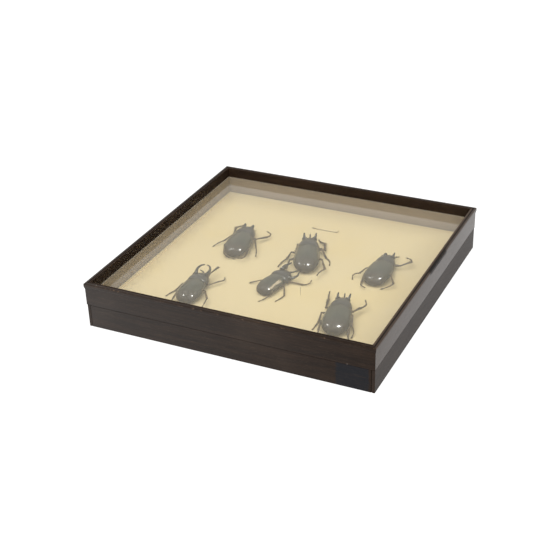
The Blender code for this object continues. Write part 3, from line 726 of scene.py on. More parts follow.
def hair_finish(name, settings):
    """Russet hair, a little uneven in tone."""
    finish = Finish(name)
    tint = finish.cloud(evenly(900), detail=1.0)
    colour = finish.mix(tint.rise(0.35, 0.65), scaled(settings.hair, 0.6), scaled(settings.hair, 1.4))
    return finish.wear({"Base Color": colour, "Roughness": 0.5})


def dress(node, material):
    """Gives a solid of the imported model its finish."""
    obj = frame["nodes"][node]
    obj.data.materials.clear()
    obj.data.materials.append(material)
    for face in obj.data.polygons:
        face.material_index = 0
    return obj


def ease(node, width):
    """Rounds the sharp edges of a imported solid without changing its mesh."""
    bevel = frame["nodes"][node].modifiers.new("eased_edges", "BEVEL")
    bevel.width = width
    bevel.segments = 3
    bevel.limit_method = "ANGLE"
    bevel.harden_normals = True


def place_piece(name, bm, materials, stands_for=(), matrix=None):
    """Makes a piece of a bmesh, puts it in place and fixes it to the case."""
    bmesh.ops.recalc_face_normals(bm, faces=bm.faces)
    mesh = bpy.data.meshes.new(name)
    bm.to_mesh(mesh)
    bm.free()
    for material in materials:
        mesh.materials.append(material)
    obj = bpy.data.objects.new(name, mesh)
    bpy.context.scene.collection.objects.link(obj)
    if matrix is not None:
        obj.matrix_world = matrix
    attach(obj, BODY)
    if stands_for:
        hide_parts(*stands_for)
    return obj


def skin(bm, rings, slot=0, smooth=True):
    """Joins rings of points with quads and closes each end with a fan."""
    rows = [[bm.verts.new(point) for point in ring] for ring in rings]
    count = len(rows[0])
    faces = []
    for row, after in zip(rows, rows[1:]):
        for i in range(count):
            j = (i + 1) % count
            faces.append(bm.faces.new((row[i], row[j], after[j], after[i])))
    for row in (rows[0], rows[-1]):
        middle = bm.verts.new(sum((vert.co for vert in row), Vector()) / count)
        for i in range(count):
            faces.append(bm.faces.new((row[i], row[(i + 1) % count], middle)))
    for face in faces:
        face.smooth = smooth
        face.material_index = slot
    return [vert for row in rows for vert in row]


def smooth_path(points, steps):
    """Points along a curve that passes through the given ones."""
    ends = [points[0] * 2 - points[1], *points, points[-1] * 2 - points[-2]]
    path = []
    for before, start, stop, after in zip(ends, ends[1:], ends[2:], ends[3:]):
        for step in range(steps):
            t = step / steps
            bend = (before * -1 + start * 3 - stop * 3 + after) * t ** 3
            bend += (before * 2 - start * 5 + stop * 4 - after) * t ** 2
            path.append((bend + (stop - before) * t + start * 2) / 2)
    return path + [points[-1]]


def spread(values, count):
    """A short list of numbers drawn out evenly to a longer one."""
    drawn = []
    for i in range(count):
        spot = i / (count - 1) * (len(values) - 1)
        low = min(int(spot), len(values) - 2)
        drawn.append(values[low] + (values[low + 1] - values[low]) * (spot - low))
    return drawn


def tube(bm, path, widths, sides, slot, flat=1.0, over=Vector((0, 0, 1))):
    """A tube along a path. Flat is its thickness against its width, and over is its thin way."""
    rings = []
    for i, (point, width) in enumerate(zip(path, widths)):
        ahead = (path[min(i + 1, len(path) - 1)] - path[max(i - 1, 0)]).normalized()
        aside = ahead.cross(over)
        aside = aside.normalized() if aside.length > 0.1 else ahead.orthogonal().normalized()
        up = aside.cross(ahead)
        rings.append([point + (aside * math.cos(turn) + up * (math.sin(turn) * flat)) * width
                      for turn in (math.tau * k / sides for k in range(sides))])
    return skin(bm, rings, slot)


def bead(bm, centre, sizes, slot, around=10, along=8):
    """An ellipsoid."""
    matrix = Matrix.Translation(centre) @ Matrix.Diagonal((*sizes, 1.0))
    made = bmesh.ops.create_uvsphere(bm, u_segments=around, v_segments=along, radius=1.0, matrix=matrix)
    for face in {face for vert in made["verts"] for face in vert.link_faces}:
        face.smooth = True
        face.material_index = slot


def spine(bm, root, way, length, width, slot):
    """A short sharp spine or tooth that grows out at root."""
    way = way.normalized()
    tube(bm, [root - way * length * 0.3, root + way * length * 0.4, root + way * length],
         (width, width * 0.62, width * 0.06), 6, slot)


def soft_step(value, low, high):
    share = min(max((value - low) / (high - low), 0.0), 1.0)
    return share * share * (3 - 2 * share)


def hump(value, centre, width):
    return math.exp(-((value - centre) / width) ** 2)


def eased_outline(corners, steps=4):
    """A closed outline whose corners (across, up, radius) are rounded."""
    outline = []
    for i, (across, up, radius) in enumerate(corners):
        corner = Vector((across, up))
        before = Vector(corners[i - 1][:2]) - corner
        after = Vector(corners[(i + 1) % len(corners)][:2]) - corner
        if radius == 0:
            outline.append(corner)
            continue
        start = corner + before.normalized() * min(radius, before.length * 0.45)
        stop = corner + after.normalized() * min(radius, after.length * 0.45)
        for step in range(steps + 1):
            t = step / steps
            outline.append(start * (1 - t) ** 2 + corner * (2 * t * (1 - t)) + stop * t ** 2)
    return outline


def rail_outline(arris):
    """Lid rail in section: rounded lip, and a rebate whose ledge carries the glass."""
    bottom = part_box("lid_rail_front")[0].z
    ledge_top = CASE_TOP - LEDGE_DEPTH
    return eased_outline([
        (LIP_PROUD, bottom, arris), (LIP_PROUD, CASE_TOP - LIP_HEIGHT - LIP_PROUD, arris),
        (0, CASE_TOP - LIP_HEIGHT, arris), (0, CASE_TOP, LIP_ROUND), (RAIL_TOP_WIDTH, CASE_TOP, arris),
        (RAIL_TOP_WIDTH, ledge_top, 0), (RAIL_LOW_WIDTH, ledge_top, arris), (RAIL_LOW_WIDTH, bottom, arris)])


def bead_outline(arris):
    """Glazing bead in section, chamfered where it meets the rail."""
    near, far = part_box("glazing_bead_front")
    low, high = near.z, far.z
    outer, inner = CASE_HALF + near.y, CASE_HALF + far.y
    chamfer = 0.8 * MM
    return eased_outline([
        (outer, low, 0), (outer, high - chamfer, arris), (outer + chamfer, high, arris),
        (inner - chamfer / 2, high, arris), (inner, high - chamfer / 2, arris), (inner, low, 0)])


def mitred_strip(name, outline, turn, material, wear_depth):
    """A strip along one side of the lid, cut at 45 degrees, with its outer edges a little worn."""
    steps = 60
    middle = sum(outline, Vector((0, 0))) / len(outline)
    square = Matrix.Rotation(math.radians(90 * turn), 3, "Z")
    rings = []
    for step in range(steps + 1):
        share = 2 * step / steps - 1
        ring = []
        for across, up in outline:
            reach = CASE_HALF - across - MITRE_GAP
            place = square @ Vector((share * reach, across - CASE_HALF, up))
            worn = max(noise.noise(place * 140) - 0.15, 0.0) * wear_depth
            worn *= soft_step(up, 0.5 * CASE_TOP, CASE_TOP)
            back = (middle - Vector((across, up))).normalized() * worn
            ring.append(square @ Vector((share * reach, across + back.x - CASE_HALF, up + back.y)))
        rings.append(ring)
    bm = bmesh.new()
    skin(bm, rings)
    for face in bm.faces:
        face.smooth = abs(face.normal.dot(square @ Vector((1, 0, 0)))) < 0.5
    obj = place_piece(name, bm, [material])
    obj.data.set_sharp_from_angle(angle=math.radians(40))
    return obj


class INSECTCASE_OT_finish_tray(bpy.types.Operator):
    """Lacquers the tray's boards and finishes the panel under them"""
    bl_idname = "insectcase.finish_tray"
    bl_label = "Finish the tray"

    def execute(self, context):
        settings = context.scene.insect_case
        stain = dark_stain(147.7 * MM, 192.7 * MM)
        for side, turn in SIDES:
            node = f"base_{side}_board"
            marks = (stain,) if side == "front" else ()
            lacquer = lacquered_wood(f"{side}_board_lacquer", settings, "XY"[turn % 2], TRAY_SHINE[side],
                                     marks)
            dress(node, lacquer)
            ease(node, 0.25 * MM)
        dress("base_bottom_panel", hardboard("underside_board"))
        ease("base_bottom_panel", 0.2 * MM)
        return {"FINISHED"}


class INSECTCASE_OT_build_lid(bpy.types.Operator):
    """Builds the lid's mitred rails and glazing beads with eased and worn edges"""
    bl_idname = "insectcase.build_lid"
    bl_label = "Build the lid"

    def execute(self, context):
        settings = context.scene.insect_case
        marks = {"front": (chip((163.7 * MM, -199 * MM, 33.2 * MM), 0.8 * MM),
                           chip((-181.7 * MM, -197.5 * MM, 63.8 * MM), 0.9 * MM)),
                 "right": (rubbed_stretch(-8 * MM, 65 * MM, 57 * MM),
                           # Painted shade in the joint under the lid and in the groove between rail and
                           # bead.
                           shaded_foot(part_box("lid_rail_right")[0].z),
                           shaded_groove(RAIL_TOP_WIDTH - 1.3 * MM, RAIL_TOP_WIDTH + 0.5 * MM))}
        for side, turn in SIDES:
            along = "XY"[turn % 2]
            lacquer = lacquered_wood(f"{side}_rail_lacquer", settings, along, LID_SHINE[side],
                                     marks.get(side, ()))
            rail = mitred_strip(f"rail_{side}", rail_outline(settings.arris), turn, lacquer,
                                settings.wear_depth)
            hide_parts(f"lid_rail_{side}")
            stain = lacquered_wood(f"{side}_bead_stain", settings, along, BEAD_SHINE[side])
            strip = mitred_strip(f"bead_{side}", bead_outline(settings.arris), turn, stain,
                                 settings.wear_depth)
            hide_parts(f"glazing_bead_{side}")
        return {"FINISHED"}


class INSECTCASE_OT_glaze(bpy.types.Operator):
    """Makes the pane clear glass with a film of settled dust"""
    bl_idname = "insectcase.glaze"
    bl_label = "Glaze the lid"

    def execute(self, context):
        settings = context.scene.insect_case
        dress("glass_pane", clear_glass("pane_glass", settings))
        half = -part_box("glazing_bead_front")[1].y
        bm = bmesh.new()
        bmesh.ops.create_cube(bm, size=1.0)
        bmesh.ops.scale(bm, vec=(2 * half, 2 * half, 0.03 * MM), verts=bm.verts)
        bmesh.ops.translate(bm, vec=(0, 0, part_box("glass_pane")[1].z + 0.06 * MM), verts=bm.verts)
        place_piece("glass_dust", bm, [settled_dust("settled_dust", settings)])
        return {"FINISHED"}


class INSECTCASE_OT_line_walls(bpy.types.Operator):
    """Lines the inner walls and finishes the pad under the paper"""
    bl_idname = "insectcase.line_walls"
    bl_label = "Line the walls"

    def execute(self, context):
        settings = context.scene.insect_case
        lining = wall_lining("wall_lining", settings)
        for side, _turn in SIDES:
            dress(f"inner_wall_{side}", lining)
            ease(f"inner_wall_{side}", 0.2 * MM)
        dress("pinning_pad", hardboard("pad_fibre"))
        return {"FINISHED"}


def fold_steps(rise, thick):
    """A turned-up edge of the sheet: how far each point lies in from the edge, and how high."""
    bend = min(1.4 * MM, rise)
    steps = [(thick, rise)] + ([(thick, rise * 0.6)] if rise > 2 * bend else []) + [(thick, bend)]
    for step in range(1, 6):
        angle = math.radians(90 * step / 5)
        steps.append((thick + bend - bend * math.cos(angle), bend - bend * math.sin(angle)))
    return steps


def far_rise(x, inward):
    """Height of the sheet where it slopes up to the far wall, in a wide strip left of the seam."""
    wide = 10 * MM - 6.4 * MM * soft_step(x, PAPER_SEAM - 1 * MM, PAPER_SEAM + 1 * MM)
    share = soft_step(wide - inward, 0, wide * 0.5) * 0.6 + 0.4 * max(1 - inward / wide, 0)
    return PAPER_FAR_RISE * share * (1 - 0.52 * soft_step(x, -PAPER_HALF, PAPER_HALF))


class INSECTCASE_OT_lay_paper(bpy.types.Operator):
    """Lays the cream paper on the pad, with soft waves and its edges turned up along the walls"""
    bl_idname = "insectcase.lay_paper"
    bl_label = "Lay the floor paper"

    def execute(self, context):
        settings = context.scene.insect_case
        thick = PAPER_THICK * 0.6
        left, right = fold_steps(PAPER_LEFT_TURN_UP, thick), fold_steps(PAPER_TURN_UP, thick)
        inner = [(step / 90 * 2 - 1) * (PAPER_HALF - 3 * MM) for step in range(91)]
        columns = [(inward - PAPER_HALF, height) for inward, height in left] + [(x, 0.0) for x in inner]
        columns += [(PAPER_HALF - inward, height) for inward, height in reversed(right)]
        rows = [(inward - PAPER_HALF, height) for inward, height in right] + [(y, 0.0) for y in inner]
        rows += [(PAPER_HALF - inward * MM, None) for inward in (2.4, 1.8, 1.2, 0.6, 0.0)]
        bm = bmesh.new()
        grid = []
        for x, side_height in columns:
            for y, end_height in rows:
                edge = PAPER_HALF - max(abs(x), abs(y))
                height = max(side_height, end_height or 0.0, far_rise(x, PAPER_HALF - y))
                swell = settings.paper_swell * soft_step(edge, 2 * MM, 30 * MM)
                height += swell * noise.noise(Vector((x, y, 0)) * 22)
                grid.append(bm.verts.new((x, y, PAPER_TOP + height)))
        for i in range(len(columns) - 1):
            for j in range(len(rows) - 1):
                a, b = i * len(rows) + j, (i + 1) * len(rows) + j
                bm.faces.new((grid[a], grid[b], grid[b + 1], grid[a + 1])).smooth = True
        paper = place_piece("paper_floor", bm, [floor_paper_finish("cream_floor_paper", settings)],
                            ("floor_paper",))
        sheet = paper.modifiers.new("sheet", "SOLIDIFY")
        sheet.thickness = thick
        sheet.offset = -1.0
        return {"FINISHED"}


class INSECTCASE_OT_lay_label(bpy.types.Operator):
    """Lays the bare label slip on the paper, a little curled"""
    bl_idname = "insectcase.lay_label"
    bl_label = "Lay the label"

    def execute(self, context):
        low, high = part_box("label_slip")
        columns, rows = 36, 8
        bm = bmesh.new()
        grid = []
        for i in range(columns + 1):
            for j in range(rows + 1):
                u, v = i / columns, j / rows
                lift = 0.9 * MM * soft_step(abs(2 * u - 1), 0.55, 1.0) + 0.3 * MM * soft_step(v, 0.6, 1.0)
                grid.append(bm.verts.new((low.x + (high.x - low.x) * u, low.y + (high.y - low.y) * v,
                                          low.z + 0.05 * MM + lift)))
        for i in range(columns):
            for j in range(rows):
                a = i * (rows + 1) + j
                face = bm.faces.new((grid[a], grid[a + rows + 1], grid[a + rows + 2], grid[a + 1]))
                face.smooth = True
        label = place_piece("label_card", bm, [label_card("bare_label_card", context.scene.insect_case)],
                            ("label_slip",))
        card = label.modifiers.new("card", "SOLIDIFY")
        card.thickness = 0.28 * MM
        card.offset = 1.0
        return {"FINISHED"}


class INSECTCASE_OT_set_pin(bpy.types.Operator):
    """Stands the loose setting pin in the paper"""
    bl_idname = "insectcase.set_pin"
    bl_label = "Set the pin"

    def execute(self, context):
        low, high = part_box("setting_pin")
        foot = Vector(((low.x + high.x) / 2, (low.y + high.y) / 2, low.z))
        head = foot + Vector((0, 0, high.z - low.z))
        bm = bmesh.new()
        shares = (0.0, 0.08, 0.2, 0.5, 0.9, 1.0)
        widths = (0.03 * MM, 0.14 * MM, 0.24 * MM, 0.25 * MM, 0.25 * MM, 0.25 * MM)
        tube(bm, [foot.lerp(head, share) for share in shares], widths, 12, 0)
        bead(bm, head - Vector((0, 0, 0.35 * MM)), evenly(0.34 * MM), 0, 12, 8)
        place_piece("pin_setting", bm, [pin_steel("dull_pin_steel")], ("setting_pin",))
        return {"FINISHED"}


def form_point(form, length, breadth, angle, ahead, lift=0.0):
    """A point on a body form: angle from its top in radians, ahead from -1 at the rear to 1."""
    ring = math.sqrt(max(1 - ahead * ahead, 0.0))
    fullness = form["front_fullness"] if ahead > 0 else form["fullness"]
    swell = ring ** fullness * (1 - form["taper"] * ahead) if ring > 0 else 0.0
    height = form["top"] if math.cos(angle) > 0 else form["belly"]
    across = form["width"] * breadth * math.sin(angle) * swell
    up = height * math.cos(angle) * swell
    reach = math.hypot(across, up)
    if reach > 1e-6:
        across += across / reach * lift
        up += up / reach * lift
    waist = form["waist"] - form["droop"] * max(-ahead, 0.0) ** 3
    return Vector((across, form["middle"] + form["reach"] * ahead, waist + up)) * length


def body_form(bm, form, length, breadth, angles, relief, slot):
    """A closed body form whose surface is raised and sunk by a relief function."""
    turns = [0.0, *angles, 180.0, *[-angle for angle in reversed(angles)]]
    rings = []
    for ring in range(1, form["rings"]):
        ahead = -math.cos(math.pi * ring / form["rings"])
        rings.append([form_point(form, length, breadth, math.radians(turn), ahead,
                                 relief(turn, ahead, form, breadth)) for turn in turns])
    skin(bm, rings, slot)


def elytra_relief(turn, ahead, form, breadth):
    """Wing cases: suture, shield, shoulder and rear bumps, raised rim, and the banded belly under them."""
    side = abs(turn)
    ring = math.sqrt(max(1 - ahead * ahead, 0.0))
    fullness = form["front_fullness"] if ahead > 0 else form["fullness"]
    across = form["width"] * breadth * math.sin(math.radians(side)) * ring ** fullness
    along = form["middle"] + form["reach"] * ahead
    calm = soft_step(ring, 0.15, 0.5)
    lift = noise.noise(Vector((turn * 0.03, ahead * 3.0, 1.7))) * 0.0016
    if side < 90:
        lift -= 0.0050 * hump(across, 0, 0.0030) * soft_step(-along, -0.11, -0.07)
        lift += 0.0012 * hump(across, 0.009, 0.0045) * soft_step(-along, -0.09, -0.05)
        shield = soft_step(0.030 * (along - 0.070) / 0.075 - across, 0.0, 0.005)
        lift += 0.0040 * shield * soft_step(along, 0.070, 0.085)
        lift += 0.0075 * hump(side, 52, 13) * hump(ahead, 0.62, 0.16)
        lift += 0.0060 * hump(side, 46, 14) * hump(ahead, -0.66, 0.15)
        lift -= 0.0020 * (hump(side, 24, 4) + hump(side, 38, 4)) * calm
    lift += 0.0050 * hump(side, 85, 2.6) * calm
    lift -= 0.0040 * hump(side, 80, 3.0) * calm
    lift -= 0.0130 * soft_step(side, 88, 97) * calm
    if side > 97:
        band = (ahead + 0.95) / 0.27
        lift -= 0.0045 * hump(band - round(band), 0.0, 0.16) * calm
    return lift


def pronotum_relief(turn, ahead, form, breadth):
    """Pronotum: a raised rim all round, a shallow middle furrow and hollows behind the horns."""
    side = abs(turn)
    ring = math.sqrt(max(1 - ahead * ahead, 0.0))
    calm = soft_step(ring, 0.15, 0.5)
    lift = noise.noise(Vector((turn * 0.035, ahead * 2.6, 4.1))) * 0.0022
    lift += 0.0045 * hump(side, 84, 3.2) * calm - 0.0035 * hump(side, 78, 3.6) * calm
    lift -= 0.0090 * soft_step(side, 90, 100) * calm
    if side < 90:
        lift -= 0.0030 * hump(side, 0, 7) * hump(ahead, -0.25, 0.5)
        lift -= 0.0080 * hump(side, 0, 22) * hump(ahead, 0.72, 0.20)
        lift += 0.0050 * hump(side, 38, 14) * hump(ahead, 0.45, 0.25)
        lift += 0.0030 * hump(ahead, -0.90, 0.035)
    return lift


def head_relief(turn, ahead, form, breadth):
    """Head: a ridge over each eye and a dent across the brow."""
    side = abs(turn)
    lift = 0.0050 * hump(side, 58, 12) * hump(ahead, 0.2, 0.4)
    return lift - 0.0040 * hump(side, 0, 30) * hump(ahead, 0.45, 0.2)


def add_horn(bm, horn, mirror, length):
    """A horn that flares into what it grows from and ends in a blunt polished tip."""
    path = smooth_path([Vector((mirror * x, y, z)) * length for x, y, z, _radius in horn], 8)
    widths = [width * length for width in spread([spot[3] for spot in horn], len(path))]
    for i in range(len(path)):
        widths[i] *= 1 + 0.55 * math.exp(-i / (len(path) - 1) / 0.10)
    widths[-1] *= 0.55
    tube(bm, path, widths, 16, HORN_SLOT)


def add_face(bm, length):
    """Eyes, shield over the mouth, jaws, feelers and palps."""
    bead(bm, Vector((0, 0.522, 0.088)) * length, Vector((0.036, 0.030, 0.010)) * length, CHITIN, 18, 10)
    for mirror in (-1, 1):
        bead(bm, Vector((mirror * 0.060, 0.462, 0.098)) * length, evenly(0.0165 * length), HORN_SLOT, 14, 10)
        jaw = [Vector((mirror * x, y, z)) * length for x, y, z in
               ((0.018, 0.525, 0.080), (0.030, 0.550, 0.082), (0.024, 0.568, 0.092))]
        tube(bm, smooth_path(jaw, 5), [w * length for w in spread((0.011, 0.009, 0.002), 11)], 10, LIMB, 0.6)
        feeler = [Vector((mirror * x, y, z)) * length for x, y, z in
                  ((0.048, 0.492, 0.078), (0.072, 0.508, 0.070), (0.088, 0.526, 0.068))]
        tube(bm, smooth_path(feeler, 6), [w * length for w in spread((0.0055, 0.0032, 0.0040), 13)], 8, LIMB)
        for leaf in range(3):
            fan = Matrix.Rotation(math.radians(mirror * (leaf - 1) * -9), 3, "Z")
            root = feeler[-1] + Vector((0, 0, (leaf - 1) * 0.004 * length))
            way = fan @ Vector((mirror * 0.35, 0.92, 0.10)).normalized()
            tube(bm, [root, root + way * 0.014 * length, root + way * 0.030 * length],
                 [w * length for w in (0.0030, 0.0062, 0.0026)], 8, LIMB, 0.4)
        palp = [Vector((mirror * x, y, z)) * length for x, y, z in
                ((0.012, 0.52, 0.068), (0.020, 0.545, 0.060), (0.022, 0.562, 0.056))]
        tube(bm, smooth_path(palp, 4), [w * length for w in spread((0.0045, 0.0040, 0.0034), 9)], 8, LIMB)


def swing(start, reach, bearing, height):
    """The end of a bone of a given reach that leaves a point at a bearing and ends at a height."""
    drop = height - start.z
    flat = math.sqrt(max(reach ** 2 - drop ** 2, 0.0))
    angle = math.radians(bearing)
    return Vector((start.x + flat * math.sin(angle), start.y + flat * math.cos(angle), height))


def leg_points(kind, side, pose, length, reach):
    """Hip, knee, ankle and tarsus joints of one leg in the beetle's own frame."""
    bearings, heights = pose[:(len(pose) + 1) // 2], pose[(len(pose) + 1) // 2:]
    bones = [bone * length * reach for bone in BONES[kind]]
    lowest = [radius * length + FIT_GAP for radius in LEG_RADII[kind][1:]]
    heights = [max(height * MM, low) for height, low in zip(heights, lowest)]
    hip = Vector(HIPS[kind]) * length
    knee = swing(hip, bones[0], bearings[0], heights[0])
    ankle = swing(knee, bones[1], bearings[1], heights[1])
    points = [hip, knee, ankle]
    for joint in range(TARSUS_LEFT[len(bearings)]):
        bearing = bearings[2] + (bearings[-1] - bearings[2]) * (joint + 0.5) / TARSUS_JOINTS
        height = heights[1] + (heights[2] - heights[1]) * (joint + 1) / TARSUS_JOINTS
        points.append(swing(points[-1], bones[2] / TARSUS_JOINTS, bearing, height))
    mirror = -1 if side == "left" else 1
    return [Vector((mirror * point.x, point.y, point.z)) for point in points]


def limb_path(start, stop, count):
    return [start.lerp(stop, i / (count - 1)) for i in range(count)]


def add_tibia(bm, kind, knee, ankle, width):
    """Shin: narrow at the knee and flared at the ankle, with outer teeth or rings of spines."""
    flare = (0.78, 0.86, 0.95, 1.0, 1.05, 1.2, 1.3)
    spots = ((0.48, 0.6), (0.74, 0.75))
    if kind == "fore":
        flare = (0.78, 0.84, 0.92, 1.0, 1.1, 1.24, 1.34)
        spots = ((0.58, 1.0), (0.78, 1.15), (0.95, 1.3))
    tube(bm, limb_path(knee, ankle, 12), [share * width for share in spread(flare, 12)], 12, LIMB, 0.72)
    shin = (ankle - knee).normalized()
    aside = shin.cross(Vector((0, 0, 1))).normalized()
    middle = (knee + ankle) / 2
    if aside.dot(Vector((middle.x, 0, 0))) < 0:
        aside = -aside
    for share, size in spots:
        root = knee.lerp(ankle, share)
        spine(bm, root + aside * width * 0.75, aside + shin * 0.75, width * 1.7 * size,
              width * 0.46 * size, LIMB)
        if kind != "fore":
            for tilt in (-1.0, 1.0):
                way = aside * 0.5 + Vector((0, 0, tilt)) + shin
                spine(bm, root + way.normalized() * width * 0.6, way, width * 1.2 * size, width * 0.26, LIMB)
    for tilt in (-0.5, 0.5):
        way = shin + aside * -0.35 + Vector((0, 0, tilt))
        spine(bm, ankle - aside * width * 0.4, way, width * 2.1, width * 0.22, LIMB)


def add_tarsus(bm, path, width):
    """Foot: five small flared joints, the last the longest, then two hooked claws."""
    track = smooth_path(path, 10)
    reach = len(track) - 1
    stops = [round(share * reach) for share in (0.0, 0.17, 0.32, 0.47, 0.62, 1.0)]
    for first, last in zip(stops, stops[1:]):
        run = limb_path(track[first], track[last], 6)
        long_joint = last == reach
        shape = (0.50, 0.62, 0.70, 0.78, 1.05, 0.80) if long_joint else (0.52, 0.80, 0.95, 1.08, 1.18, 0.85)
        tube(bm, run, [share * width for share in shape], 10, LIMB)
        if not long_joint:
            ahead = (run[-1] - run[0]).normalized()
            aside = ahead.cross(Vector((0, 0, 1))).normalized()
            for mirror in (-1, 1):
                spine(bm, run[-2], ahead + aside * mirror * 0.9 + Vector((0, 0, -0.5)), width * 1.6,
                      width * 0.20, LIMB)
    ahead = (track[-1] - track[-4]).normalized()
    aside = ahead.cross(Vector((0, 0, 1))).normalized()
    for mirror in (-1, 1):
        out = ahead + aside * mirror * 0.65
        hook = [track[-1] - ahead * width * 0.4, track[-1] + out * width * 0.8 + Vector((0, 0, width * 0.3)),
                track[-1] + out * width * 1.5 + Vector((0, 0, -width * 0.3))]
        tube(bm, smooth_path(hook, 4), [share * width for share in spread((0.42, 0.32, 0.06), 9)], 8, LIMB)


def add_leg(bm, kind, side, pose, length, reach):
    """Hip, thigh, shin and foot."""
    points = leg_points(kind, side, pose, length, reach)
    hip, knee, ankle = points[:3]
    thigh, shin_width, _ankle_width, toe = [radius * length for radius in LEG_RADII[kind]]
    root = hip.copy()
    root.x *= 0.75
    bead(bm, root, Vector((0.036, 0.030, 0.026)) * length, LIMB, 14, 10)
    fullness = (0.80, 1.05, 1.22, 1.28, 1.22, 1.05, 0.86, 0.72)
    tube(bm, limb_path(hip, knee, 14), [share * thigh for share in spread(fullness, 14)], 14, LIMB, 0.74)
    bead(bm, knee, evenly(shin_width * 0.92), LIMB, 12, 8)
    add_tibia(bm, kind, knee, ankle, shin_width)
    if len(points) > 3:
        add_tarsus(bm, points[2:], toe)
    return points


def turn_about(point, angle, axis):
    """A turn in degrees about an axis through a point."""
    shift = Matrix.Translation(point)
    return shift @ Matrix.Rotation(math.radians(angle), 4, axis) @ shift.inverted()


def shift_from(bm, first, matrix):
    """Moves the points that were added after the first so many."""
    bm.verts.ensure_lookup_table()
    bmesh.ops.transform(bm, matrix=matrix, verts=bm.verts[first:])


def beetle_matrix(spec):
    x, y = spec["place"]
    heading = Matrix.Rotation(math.radians(spec["heading"]), 4, "Z")
    return Matrix.Translation((x * MM, y * MM, PAPER_TOP)) @ heading


class INSECTCASE_OT_mount_beetles(bpy.types.Operator):
    """Builds the six horned beetles: wing cases, pronotum, head, horns and legs"""
    bl_idname = "insectcase.mount_beetles"
    bl_label = "Mount the beetles"

    def execute(self, context):
        settings = context.scene.insect_specimens
        for node, spec in BEETLES.items():
            length = spec["length"] * MM
            girth, shoulder = spec["girth"]
            neck = turn_about((0, NECK_AHEAD * length, 0), spec["neck"], "Z")
            roll = turn_about((0, 0, ELYTRA["waist"] * length), spec["roll"], "Y")
            bm = bmesh.new()
            body_form(bm, PRONOTUM, length, shoulder, PLAIN_ANGLES, pronotum_relief, CHITIN)
            body_form(bm, HEAD, length, 1.0, PLAIN_ANGLES, head_relief, CHITIN)
            left, right, middle = spec["horns"]
            for horn, mirror in ((HORNS[left], -1), (HORNS[right], 1), (HEAD_HORNS[middle], 1)):
                add_horn(bm, horn, mirror, length)
            add_face(bm, length)
            shift_from(bm, 0, neck)
            wings = dict(ELYTRA, fullness=spec["fullness"])
            body_form(bm, wings, length, girth, ELYTRA_ANGLES, elytra_relief, CHITIN)
            shift_from(bm, 0, roll)
            reaches = dict(zip(BONES, spec["reach"]))
            for leg, pose in spec["legs"].items():
                kind, side = leg.split("_")
                add_leg(bm, kind, side, pose, length, reaches[kind])
            materials = [black_chitin(f"{node}_back", settings, length, PAINTED_GLARE.get(node)),
                         limb_chitin(f"{node}_limbs", settings, length),
                         horn_chitin(f"{node}_horns", settings, length)]
            place_piece(node.replace("beetle", "specimen"), bm, materials, (node,),
                        beetle_matrix(spec))
        return {"FINISHED"}


def add_hair(bm, root, way, length, width):
    """One tapering bristle that droops a little."""
    way = way.normalized()
    tip = root + way * length + Vector((0, 0, -0.22 * length))
    middle = root + way * length * 0.55
    ahead = way.orthogonal().normalized()
    aside = way.cross(ahead)
    rings = []
    for point, size in ((root, width), (middle, width * 0.7), (tip, width * 0.12)):
        rings.append([point + (ahead * math.cos(turn) + aside * math.sin(turn)) * size
                      for turn in (0.0, math.tau / 3, math.tau * 2 / 3)])
    skin(bm, rings)


